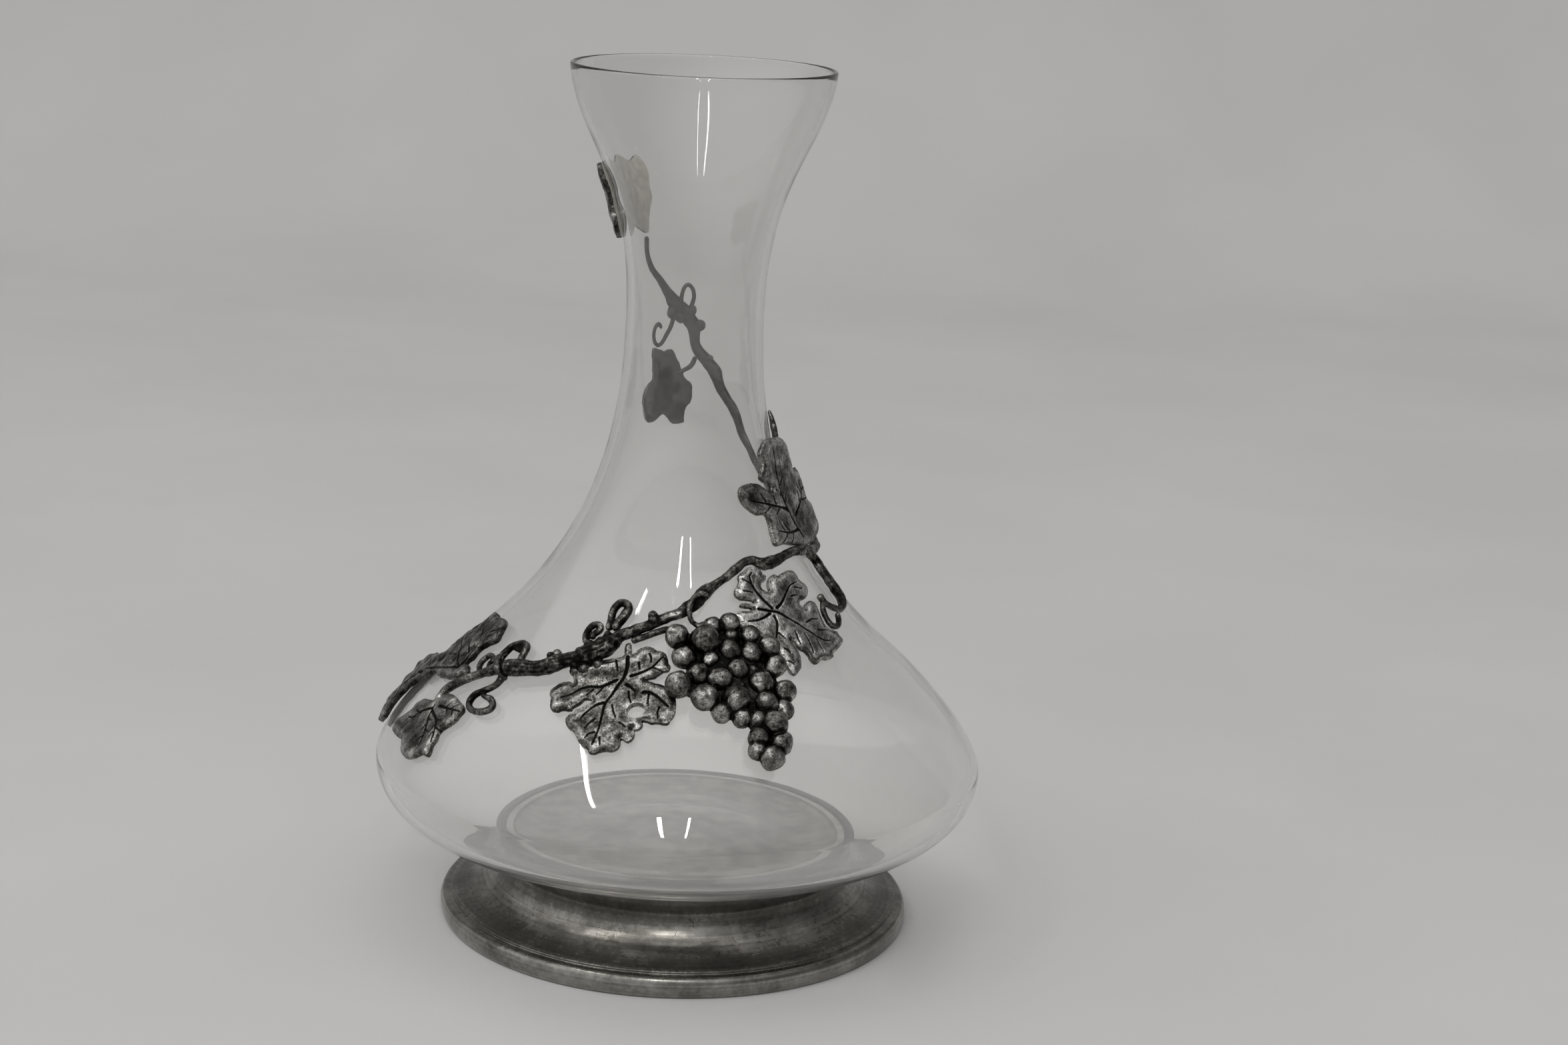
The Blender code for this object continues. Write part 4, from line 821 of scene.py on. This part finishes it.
def cut_sheet(name, margin, thickness, grain):
    """Flat sheet of fine even faces inside a closed margin; its underside lies at zero."""
    sheet = start_piece(bpy.ops.mesh.primitive_circle_add, name, vertices=len(margin), fill_type="NGON")
    for vertex, (x, y) in zip(sheet.data.vertices, margin):
        vertex.co = (x, y, 0)
    edit(True)
    bpy.ops.mesh.select_all(action="SELECT")
    bpy.ops.mesh.extrude_region_move(TRANSFORM_OT_translate={"value": (0, 0, thickness)})
    bpy.ops.mesh.select_all(action="SELECT")
    bpy.ops.mesh.normals_make_consistent(inside=False)
    edit(False)
    apply_modifier(sheet, "REMESH", mode="VOXEL", voxel_size=grain)
    return sheet


def away_from(spots, line):
    """Distance of flat spots from a line of points, and the share of the line where it is nearest."""
    starts, steps = line[:-1], np.diff(line, axis=0)
    length = np.maximum((steps**2).sum(axis=1), 1e-14)
    gaps, shares = [], []
    for block in np.array_split(spots, 1 + len(spots) // 4000):
        share = np.clip(((block[:, None, :] - starts) * steps).sum(axis=2) / length, 0, 1)
        gap = np.linalg.norm(starts + share[:, :, None] * steps - block[:, None, :], axis=2)
        nearest = np.argmin(gap, axis=1)
        rows = np.arange(len(block))
        gaps.append(gap[rows, nearest])
        shares.append((nearest + share[rows, nearest]) / len(steps))
    return np.concatenate(gaps), np.concatenate(shares)


bunch_seat = moved(grape_stalk[-1, :2], 1.25 * GRAPE_PITCH, -0.35 * GRAPE_PITCH)
bunch_edge = np.array(GRAPES)[BUNCH_EDGE, :2] * (GRAPE_PITCH, -GRAPE_PITCH)
bunch = cut_sheet("grape_bunch_casting", bunch_edge[::-1], BUNCH_SHEET, BUNCH_SHEET_GRAIN)
flat = read_points(bunch)
edge_gap = away_from(flat[:, :2], np.vstack((bunch_edge, bunch_edge[:1])))[0]
core_rise = BUNCH_CORE * (1 + np.minimum(1, edge_gap / GRAPE_PITCH)) / 2
core_lift = SEAT_GAP + np.clip(flat[:, 2] / BUNCH_SHEET, 0, 1) * core_rise
write_points(bunch, on_glass(moved(bunch_seat, flat[:, 0], flat[:, 1]), core_lift))
pick_only(bunch)
edit(True)
for across, down, size in GRAPES:
    radius = size * GRAPE_DIAMETER / 2
    lift = SEAT_GAP + radius + max(0.0, size - FLAT_GRAPE) * BUNCH_STACK * GRAPE_DIAMETER
    centre = on_glass(moved(bunch_seat, across * GRAPE_PITCH, -down * GRAPE_PITCH), lift)
    bpy.ops.mesh.primitive_ico_sphere_add(subdivisions=4, radius=radius * GRAPE_SWELL, location=centre)
edit(False)
apply_modifier(bunch, "REMESH", mode="VOXEL", voxel_size=BUNCH_GRAIN)
apply_modifier(bunch, "SMOOTH", factor=0.5, iterations=2)
points = read_points(bunch)
dents = GRAPE_DENT * mottle(points, GRAPE_DENT_WIDTH) + GRAPE_PIT * mottle(points, GRAPE_PIT_WIDTH)
write_points(bunch, points + read_normals(bunch) * dents[:, None])
finish_casting(bunch, "grape_bunch", BUNCH_RUBBED)

# Leaves: seven vine leaves, each a thin casting with puffed lobes, cut veins and a rolled margin. Each
# is bent to the glass, soldered to its stalk and stuck down; one has a worm hole.

LEAF_EDGE = 0.0014
LEAF_THICKNESS = 0.0019
LEAF_CROWN_WIDTH = 0.0018
LEAF_PUFF = 0.00022
LEAF_WAVE = 0.00050
LEAF_WEAR = 0.00013
LEAF_GRAIN = 0.00020
SHEET_THICKNESS = 0.0012
VEIN_DEPTH = 0.00050
VEIN_WIDTH = 0.00032
LEAF_PUFF_WIDTH = 0.0032
LEAF_ROLL = 0.0022
LEAF_WAVE_WIDTH = 0.0085
LEAF_LUMP, LEAF_LUMP_WIDTH = 0.00014, 0.0031
LEAF_GRIT = 0.3
LEAF_WEAR_WIDTH = 0.0011
LEAVES_APART = 0.01
LEAF_CURL, LEAF_CURL_WIDTH, LEAF_CURL_LENGTH = 0.00025, 0.0045, 0.0064
SCALLOP_WIDTH = 0.0022
SCALLOP_DEPTH = 0.0007
SIDE_LEAF_LUMP = 0.00045
STEP_ON_MARGIN = 0.0003
CORNER_STEPS = 6
LEAF_FLAT_EDGE = 0.0012
VEIN_END = 0.0010
MAIN_VEIN = {"width": 1.3, "narrowing": 0.8, "depth": 1.1, "fading": 0.4, "floor": 0.4}
SIDE_VEIN = {"width": 0.85, "narrowing": 0.35, "depth": 0.65, "fading": 0.0, "floor": 0.3}
SIDE_VEIN_PLACES = ((0.34, 1), (0.46, -1), (0.60, 1), (0.72, -1))
SIDE_VEIN_STEPS = (0.028, 0.075, 0.125)
SIDE_VEIN_OUT, SIDE_VEIN_ALONG = 0.75, 0.66
# Patina and painted shade: darkening in the cut veins and along the margin of each leaf.
VEIN_SHADE_AND_PATINA = 0.9
EDGE_SHADE_AND_PATINA, EDGE_SHADE_AND_PATINA_WIDTH = 0.25, 0.0008
LEAF_FRONT_REACH = 0.0280
LEAF_GRAPES_REACH = 0.0254
LEAF_SHOULDER_REACH = 0.0317
LEAF_SMALL_REACH = 0.0195
LEAF_SIDE_REACH = 0.0517
LEAF_NECK_BACK_REACH = 0.0226
LEAF_NECK_LEFT_REACH = 0.0279


def flat_points(corners, reach):
    """Flat points from (bearing, thousandths of the reach); bearing 0 is up and 90 to the right."""
    bearing, share = np.array(corners, float).T
    turn = np.radians(bearing)
    return np.stack((np.sin(turn), np.cos(turn)), axis=1) * (share / 1000 * reach)[:, None]


def rounded_line(corners, closed):
    """Smooth line through corners."""
    if closed:
        ends = np.vstack((corners[-1:], corners, corners[:2]))
    else:
        ends = np.vstack((corners[:1], corners, corners[-1:]))
    fine = [between(*four, CORNER_STEPS) for four in zip(ends, ends[1:], ends[2:], ends[3:])]
    return np.vstack(fine if closed else fine + [corners[-1:]])


def worn(margin, wear, size):
    """Margin in even steps, uneven by some depth in lumps of some size; it runs clockwise."""
    ring = np.vstack((margin, margin[:1]))
    run = run_along(ring)
    even = np.linspace(0, run[-1], round(run[-1] / STEP_ON_MARGIN))[:-1]
    fine = np.stack([np.interp(even, run, column) for column in ring.T], axis=1)
    way = np.roll(fine, -2, axis=0) - np.roll(fine, 2, axis=0)
    out = np.stack((-way[:, 1], way[:, 0]), axis=1) / np.linalg.norm(way, axis=1)[:, None]
    return fine + out * (wear * mottle(np.c_[fine, fine[:, 0] * 0], size))[:, None]


def ease(value):
    value = np.clip(value, 0, 1)
    return value * value * (3 - 2 * value)


def side_veins(vein, reach):
    """Short strokes on both sides of a vein, which start a little off it."""
    strokes = []
    for share, side in SIDE_VEIN_PLACES:
        spot = vein[int(share * (len(vein) - 1))]
        run = vein[min(len(vein) - 1, int(share * (len(vein) - 1)) + 1)] - spot
        run /= max(np.linalg.norm(run), 1e-9)
        out = np.array((-run[1], run[0])) * side
        way = SIDE_VEIN_OUT * out + SIDE_VEIN_ALONG * run
        strokes.append(np.array([spot + way * step * reach for step in SIDE_VEIN_STEPS]))
    return strokes


def cut_vein(spots, line, width, narrowing, depth, fading, floor):
    """Depth of a vein at flat spots, from 0 to about 1, and how far they are from it."""
    gap, share = away_from(spots, line)
    width = VEIN_WIDTH * (width - narrowing * share)
    return (depth - fading * share) * (1 - ease(gap / width - floor)), gap


def make_leaf(
    node, seat, stalk, reach, corners, veins, tone_shift, stand_off=(0.0, 0.0), hole=None, strokes=(),
    glue=BROWN_ADHESIVE, wear=(LEAF_WEAR, LEAF_WEAR_WIDTH), lumps=LEAF_LUMP,
):
    """Leaf with its own margin and veins, at the end of a stalk of (bearing, thousandths of its reach).

    stand_off is its rise from the glass to the left and to the right.
    """
    seat = moved(seat, *flat_points([stalk], reach)[0])
    margin = worn(rounded_line(flat_points(corners, reach), True), *wear)
    leaf = cut_sheet(node + "_casting", margin, SHEET_THICKNESS, LEAF_GRAIN)
    if hole:
        spot = flat_points([hole[:2]], reach)[0]
        worm = start_piece(
            bpy.ops.mesh.primitive_cylinder_add, "worm_hole",
            vertices=24, radius=hole[2] / 1000 * reach, depth=8 * SHEET_THICKNESS, location=(*spot, 0),
        )
        apply_modifier(leaf, "BOOLEAN", operation="DIFFERENCE", solver="EXACT", object=worm)
        bpy.data.objects.remove(worm)
        apply_modifier(leaf, "REMESH", mode="VOXEL", voxel_size=LEAF_GRAIN)
    flat = read_points(leaf)
    spots = flat[:, :2]
    edge_gap = away_from(spots, np.vstack((margin, margin[:1])))[0]
    main = [rounded_line(flat_points(vein, reach), False) for vein in veins]
    short = [flat_points(stroke, reach) for stroke in strokes]
    if not strokes:
        short = [stroke for vein in main for stroke in side_veins(vein, reach)]
    groove = np.zeros(len(spots))
    vein_gap = np.full(len(spots), 1.0)
    for vein in main:
        cut, gap = cut_vein(spots, vein, **MAIN_VEIN)
        groove = np.maximum(groove, cut)
        vein_gap = np.minimum(vein_gap, gap)
    for stroke in short:
        groove = np.maximum(groove, cut_vein(spots, stroke, **SIDE_VEIN)[0])
    wide = np.c_[spots, np.full(len(spots), len(node) * LEAVES_APART)]
    crown = ease(edge_gap / LEAF_CROWN_WIDTH)
    puff = LEAF_PUFF * ease(vein_gap / LEAF_PUFF_WIDTH) * ease(edge_gap / LEAF_ROLL)
    wave = LEAF_WAVE * mottle(wide, LEAF_WAVE_WIDTH) + lumps * mottle(wide, LEAF_LUMP_WIDTH)
    wave += LEAF_GRIT * lumps * mottle(wide, LEAF_WEAR_WIDTH)
    rise = LEAF_EDGE + (LEAF_THICKNESS - LEAF_EDGE) * crown + puff + wave * ease(edge_gap / LEAF_FLAT_EDGE)
    rise -= VEIN_DEPTH * groove * ease(edge_gap / VEIN_END)
    side = np.where(spots[:, 0] > 0, stand_off[1], stand_off[0])
    curl = LEAF_CURL * (1 + mottle(wide + 0.5, LEAF_CURL_LENGTH)) * (1 - ease(edge_gap / LEAF_CURL_WIDTH))
    low = SEAT_GAP + side * np.abs(spots[:, 0]) + curl
    lift = low + np.clip(flat[:, 2] / SHEET_THICKNESS, 0, 1) * rise
    write_points(leaf, on_glass(moved(seat, spots[:, 0], spots[:, 1]), lift))
    # Darker in the cut veins and along the margin: patina, and painted shade where the cut and the edge of
    # the sheet lie in shadow.
    vein_shade_and_patina = VEIN_SHADE_AND_PATINA * groove
    finish_casting(leaf, node, tone_shift - vein_shade_and_patina - EDGE_SHADE_AND_PATINA * (1 - ease(edge_gap / EDGE_SHADE_AND_PATINA_WIDTH)), glue)


make_leaf("leaf_front", lower_branch[0, :2], (153, 337), LEAF_FRONT_REACH, (
    (15.6, 147), (18.9, 194), (26.4, 243), (33.8, 283), (43.7, 308), (54.3, 327), (58.5, 365),
    (66.8, 383), (74.0, 396), (81.5, 403), (87.0, 423), (92.1, 409), (94.6, 368), (99.7, 340),
    (108.0, 321), (115.3, 278), (124.9, 251), (118.3, 334), (114.7, 420), (114.3, 505), (116.5, 577),
    (120.3, 638), (125.7, 709), (129.8, 761), (134.7, 792), (138.0, 810), (141.1, 786), (144.2, 742),
    (147.9, 725), (150.6, 685), (154.0, 664), (153.7, 707), (156.8, 738), (159.8, 744), (161.8, 719),
    (160.8, 779), (162.5, 834), (165.3, 857), (168.3, 837), (170.4, 814), (170.3, 874), (172.1, 925),
    (175.0, 949), (179.0, 951), (181.9, 969), (185.3, 1000), (187.7, 1002), (190.3, 964), (194.3, 950),
    (197.8, 918), (201.4, 886), (204.7, 866), (207.1, 876), (210.7, 856), (213.5, 825), (214.1, 763),
    (212.9, 722), (213.9, 683), (211.4, 635), (209.8, 576), (208.2, 523), (210.4, 499), (214.7, 515),
    (217.3, 557), (216.7, 623), (217.8, 683), (217.1, 724), (221.1, 782), (223.0, 850), (225.8, 895),
    (230.0, 874), (233.3, 841), (235.8, 854), (239.3, 819), (241.9, 757), (243.6, 684), (243.2, 610),
    (239.7, 564), (248.8, 555), (257.3, 551), (259.9, 478), (264.8, 381), (271.0, 288), (282.4, 196),
    (309.6, 124), (334.2, 129), (343.1, 236), (356.4, 248), (6.4, 142),
), (
    ((354, 95), (145, 12), (177, 124), (187, 229), (191, 348), (193, 459), (190, 571), (188, 681),
     (187, 770), (187, 846), (187, 921)),
    ((199, 184), (210, 267), (217, 342), (227, 422), (230, 526), (229, 644), (230, 742)),
    ((195, 459), (201, 519), (204, 610), (205, 715)),
    ((167, 216), (158, 253), (151, 321)),
    ((141, 372), (134, 413), (131, 482), (130, 576), (130, 655)),
    ((147, 129), (124, 156), (101, 208), (88, 257), (76, 303), (69, 357)),
), tone_shift=-0.05, hole=(157, 540, 84), strokes=(
    ((291, 130), (264, 95), (224, 103)), ((71, 120), (88, 125), (103, 141)),
    ((53, 243), (65, 243), (77, 234)), ((91, 267), (94, 310), (96, 359)),
    ((163, 295), (163, 366), (161, 438)), ((136, 422), (141, 474), (144, 533)),
    ((184, 461), (180, 532), (176, 601)), ((220, 414), (219, 459), (219, 502)),
    ((213, 319), (211, 378), (210, 431)), ((194, 662), (196, 716), (197, 784)),
    ((189, 791), (192, 822), (193, 885)), ((184, 834), (183, 875), (182, 914)),
    ((136, 609), (140, 655), (142, 714)), ((172, 653), (169, 682), (167, 706)),
))
grape_leaf_seat = moved(bunch_seat, 4.12 * GRAPE_PITCH, 1.24 * GRAPE_PITCH)
make_leaf("leaf_grapes", grape_leaf_seat, (0, 0), LEAF_GRAPES_REACH, (
    (344.0, 551), (350.9, 536), (356.8, 492), (358.9, 442), (3.5, 407), (-0.2, 355), (350.8, 335),
    (347.2, 283), (354.1, 236), (7.3, 242), (6.1, 313), (10.6, 391), (18.4, 437), (25.9, 425),
    (32.2, 480), (39.7, 546), (47.6, 583), (55.1, 577), (60.7, 569), (68.2, 602), (74.7, 611),
    (79.9, 576), (83.2, 482), (83.2, 394), (89.2, 371), (96.2, 427), (90.0, 473), (88.3, 556),
    (92.3, 625), (97.5, 645), (103.3, 655), (109.2, 679), (115.2, 732), (117.7, 816), (118.1, 908),
    (120.8, 937), (123.1, 999), (127.3, 972), (133.0, 913), (138.7, 869), (141.7, 883), (146.2, 837),
    (149.2, 785), (156.2, 770), (159.5, 737), (160.5, 675), (159.3, 616), (160.0, 575), (163.8, 526),
    (165.6, 465), (165.6, 411), (170.6, 379), (170.5, 432), (169.7, 502), (170.5, 581), (173.0, 657),
    (177.0, 732), (183.0, 787), (187.2, 759), (190.9, 659), (196.4, 529), (209.5, 423), (225.8, 400),
    (242.8, 430), (253.5, 472), (263.0, 491), (270.3, 466), (275.6, 395), (275.7, 303), (283.2, 251),
    (282.4, 342), (283.4, 401), (290.3, 370), (292.2, 296), (302.2, 241), (298.9, 316), (296.1, 403),
    (300.6, 461), (307.0, 481), (314.7, 473), (322.4, 496), (326.6, 536), (334.2, 542),
), (
    ((279, 198), (272, 98), (157, 41), (135, 167), (133, 306), (134, 452), (134, 572), (132, 696),
     (128, 803)),
    ((300, 38), (320, 127), (324, 210), (327, 299), (332, 387), (337, 458), (343, 486)),
    ((56, 34), (59, 113), (54, 225), (51, 340), (52, 409), (57, 487)),
    ((247, 84), (246, 173), (249, 275), (254, 377)),
    ((209, 88), (194, 157), (197, 279), (200, 368)),
), tone_shift=0.28, strokes=(
    ((143, 429), (149, 536), (154, 652)), ((137, 600), (142, 681), (144, 742)),
    ((122, 414), (114, 481), (112, 587)), ((125, 583), (123, 653), (120, 738)),
    ((59, 418), (64, 455), (70, 500)), ((66, 304), (69, 343), (72, 392)),
    ((194, 287), (188, 319), (183, 369)), ((189, 484), (185, 501), (182, 543)),
    ((187, 633), (184, 651), (182, 680)), ((326, 480), (328, 434), (331, 381)),
    ((310, 396), (314, 352), (319, 306)), ((156, 331), (160, 429), (161, 482)),
))
make_leaf("leaf_shoulder", shoulder_branch[0, :2], (50, 116), LEAF_SHOULDER_REACH, (
    (-84, 440), (-66, 450), (-51, 510), (-55, 620), (-52, 750), (-45, 830), (-38, 810), (-31, 730),
    (-26, 590), (-21, 630), (-26, 740), (-18, 820), (-16, 930), (-7, 1000), (6, 970), (14, 900),
    (18, 800), (23, 650), (31, 690), (40, 600), (48, 460), (60, 470), (72, 440), (90, 410), (104, 220),
    (170, 60), (276, 300),
), (
    ((0, 30), (-14, 300), (-10, 550), (-4, 880)),
    ((-14, 340), (-34, 480), (-46, 700)),
    ((8, 240), (30, 400), (30, 560)),
    ((-20, 120), (-60, 240), (-64, 380)),
), tone_shift=0.12, stand_off=(0.0, 0.28))
make_leaf("leaf_small_left", lower_branch[-1, :2], (162, 49), LEAF_SMALL_REACH, (
    (288.3, 102), (335.5, 125), (11.4, 189), (35.2, 313), (52.5, 444), (66.0, 586), (71.5, 684),
    (77.8, 759), (82.9, 747), (90.0, 750), (96.4, 732), (102.1, 696), (109.9, 670), (115.9, 692),
    (120.1, 779), (124.8, 842), (127.6, 944), (130.8, 1001), (133.8, 966), (137.6, 896), (142.7, 903),
    (149.5, 912), (157.7, 907), (166.5, 855), (176.4, 794), (184.7, 724), (193.1, 708), (202.9, 772),
    (214.8, 878), (220.7, 952), (227.6, 964), (232.5, 929), (233.2, 795), (235.5, 683), (239.9, 567),
    (247.9, 549), (255.3, 463), (264.0, 337),
), (
    ((103, 63), (138, 210), (138, 405), (140, 601), (145, 823)),
    ((143, 85), (212, 214), (214, 427), (209, 653)),
    ((82, 203), (81, 463), (81, 722)),
    ((126, 152), (112, 425), (119, 618), (125, 789)),
), tone_shift=-0.06)
make_leaf("leaf_side_left", lower_branch[12, :2], (301, 118), LEAF_SIDE_REACH, (
    (325.6, 400), (339.9, 368), (355.1, 349), (2.4, 314), (6.1, 275), (9.7, 241), (4.8, 192),
    (354.3, 148), (356.9, 114), (4.6, 78), (0.6, 42), (76.1, 73), (99.1, 85), (142.8, 61), (204.1, 94),
    (230.0, 192), (243.2, 318), (240.2, 396), (239.0, 523), (236.0, 631), (231.5, 706), (226.6, 730),
    (222.1, 746), (224.9, 871), (232.3, 968), (237.3, 1000), (241.6, 995), (244.6, 944), (247.7, 897),
    (251.2, 832), (256.2, 621), (262.2, 397), (270.7, 389), (279.1, 394), (289.1, 388), (300.4, 384),
    (312.7, 377), (318.4, 410),
), (
    ((172, 9), (242, 132), (246, 361), (242, 543), (237, 690), (230, 740)),
    ((90, 1), (334, 54), (339, 142), (344, 252), (348, 331)),
    ((262, 19), (283, 132), (295, 218), (311, 270)),
), tone_shift=-0.22, wear=(SCALLOP_DEPTH, SCALLOP_WIDTH), lumps=SIDE_LEAF_LUMP, stand_off=(0.012, 0.0))
make_leaf("leaf_neck_back", leaf_neck_stalk[-1, :2], (40, 328), LEAF_NECK_BACK_REACH, (
    (39, 110), (62, 210), (132, 220), (156, 360), (150, 430), (151, 600), (159, 740), (166, 880),
    (171, 920), (178, 890), (183, 820), (187, 830), (193, 970), (202, 1000), (204, 920), (209, 800),
    (215, 770), (226, 600), (226, 460), (241, 280), (266, 180), (304, 140), (349, 60),
), (
    ((180, 40), (184, 300), (188, 500), (185, 700)),
    ((176, 220), (168, 450), (166, 760)),
    ((190, 220), (206, 450), (204, 820)),
), tone_shift=-0.05)
make_leaf("leaf_neck_left", neck_branch[-1, :2], (11, 131), LEAF_NECK_LEFT_REACH, (
    (-157, 100), (-50, 120), (-32, 330), (-24, 400), (-19, 590), (-8, 720), (4, 660), (21, 780),
    (33, 780), (43, 980), (53, 1000), (60, 890), (66, 720), (77, 730), (88, 630), (100, 480), (103, 350),
    (94, 220), (121, 110),
), (
    ((40, 30), (38, 300), (46, 580), (50, 860)),
    ((20, 80), (0, 300), (-8, 580)),
    ((60, 100), (80, 300), (82, 580)),
    ((34, 200), (24, 420), (22, 620)),
), tone_shift=-0.15, glue=PALE_ADHESIVE)

# Setting: a pale paper sweep under and behind the carafe, a soft sky that is brighter above and on the
# left, three lamp tubes overhead, and the camera at the height and angle of the picture.

CAMERA_PLACE = (0.0, -0.7917, 0.3171)
CAMERA_YAW = math.radians(2.024)
CAMERA_PITCH = math.radians(13.985)
CAMERA_ROLL = -0.04647
CAMERA_FOCAL = 4224.2
PICTURE_WIDTH = 2352
SENSOR_WIDTH = 36.0
SWEEP_FRONT = -2.5
SWEEP_BACK = 1.1
SWEEP_BEND = 0.5
SWEEP_HEIGHT = 2.2
SWEEP_HALF_WIDTH = 2.6
TUBE_HEIGHT = 1.90
TUBE_LENGTH = 0.90
TUBE_TILT = math.atan(0.01 / TUBE_HEIGHT)
SKY_LEAN = (-0.40, -0.30, 0.87)
SKY_STRENGTH = 1.15


def paper():
    material, shader, place = new_material("paper_sweep", Roughness=0.85, Specular_IOR_Level=0.2)
    fibre = noise(place, Scale=6.0, Detail=3.0)
    colour = ramp(fibre, ((0.3, (0.50, 0.494, 0.487)), (0.7, (0.53, 0.524, 0.517))))
    link(colour, shader.inputs["Base Color"])
    return material


sweep = start_piece(bpy.ops.mesh.primitive_plane_add, "paper_sweep", size=1)
bend = np.linspace(0, math.pi / 2, 25)
profile = [(SWEEP_FRONT, 0.0)]
profile += [
    (SWEEP_BACK + SWEEP_BEND * math.sin(turn), SWEEP_BEND * (1 - math.cos(turn))) for turn in bend
]
profile.append((SWEEP_BACK + SWEEP_BEND, SWEEP_HEIGHT))
for vertex in sweep.data.vertices:
    row = 0 if vertex.co.y < 0 else 1
    vertex.co = (math.copysign(SWEEP_HALF_WIDTH, vertex.co.x), *profile[row])
pick_edges(sweep, lambda place: place.y > 0)
for here, there in zip(profile[1:], profile[2:]):
    step = (0, there[0] - here[0], there[1] - here[1])
    bpy.ops.mesh.extrude_region_move(TRANSFORM_OT_translate={"value": step})
edit(False)
bpy.ops.object.shade_smooth()
sweep.data.materials.append(paper())
for name, across, back, width, power in (
    ("tube_left", -1.05, -0.80, 0.05, 6.0),
    ("tube_front", -0.22, -2.00, 0.06, 9.0),
    ("tube_right", 0.18, -2.00, 0.03, 4.0),
):
    bpy.ops.object.light_add(type="AREA", location=(across, back, TUBE_HEIGHT), rotation=(TUBE_TILT, 0, 0))
    lamp = bpy.context.object
    lamp.name = name
    lamp.data.shape = "RECTANGLE"
    lamp.data.size, lamp.data.size_y = width, TUBE_LENGTH
    lamp.data.energy = power
world = bpy.data.worlds.new("studio")
world.use_nodes = True
sky = add_node(world.node_tree, "TexCoord").outputs["Generated"]
lean = pattern(sky, "VectorMath", operation="DOT_PRODUCT")["Value"]
lean.node.inputs[1].default_value = SKY_LEAN
shade = ramp(lean, ((0.0, 0.16), (1.0, 1.0)))
shade.node.color_ramp.interpolation = "EASE"
background = world.node_tree.nodes["Background"]
background.inputs["Strength"].default_value = SKY_STRENGTH
link(shade, background.inputs["Color"])
bpy.context.scene.world = world
bpy.context.scene.view_settings.view_transform = "Standard"

bpy.ops.object.camera_add()
camera = bpy.context.object
camera.data.sensor_width = SENSOR_WIDTH
camera.data.lens = CAMERA_FOCAL / PICTURE_WIDTH * SENSOR_WIDTH
camera.matrix_world = (
    Matrix.Translation(CAMERA_PLACE) @ Matrix.Rotation(-CAMERA_YAW, 4, "Z")
    @ Matrix.Rotation(math.pi / 2 - CAMERA_PITCH, 4, "X") @ Matrix.Rotation(-CAMERA_ROLL, 4, "Z")
)
bpy.context.scene.camera = camera
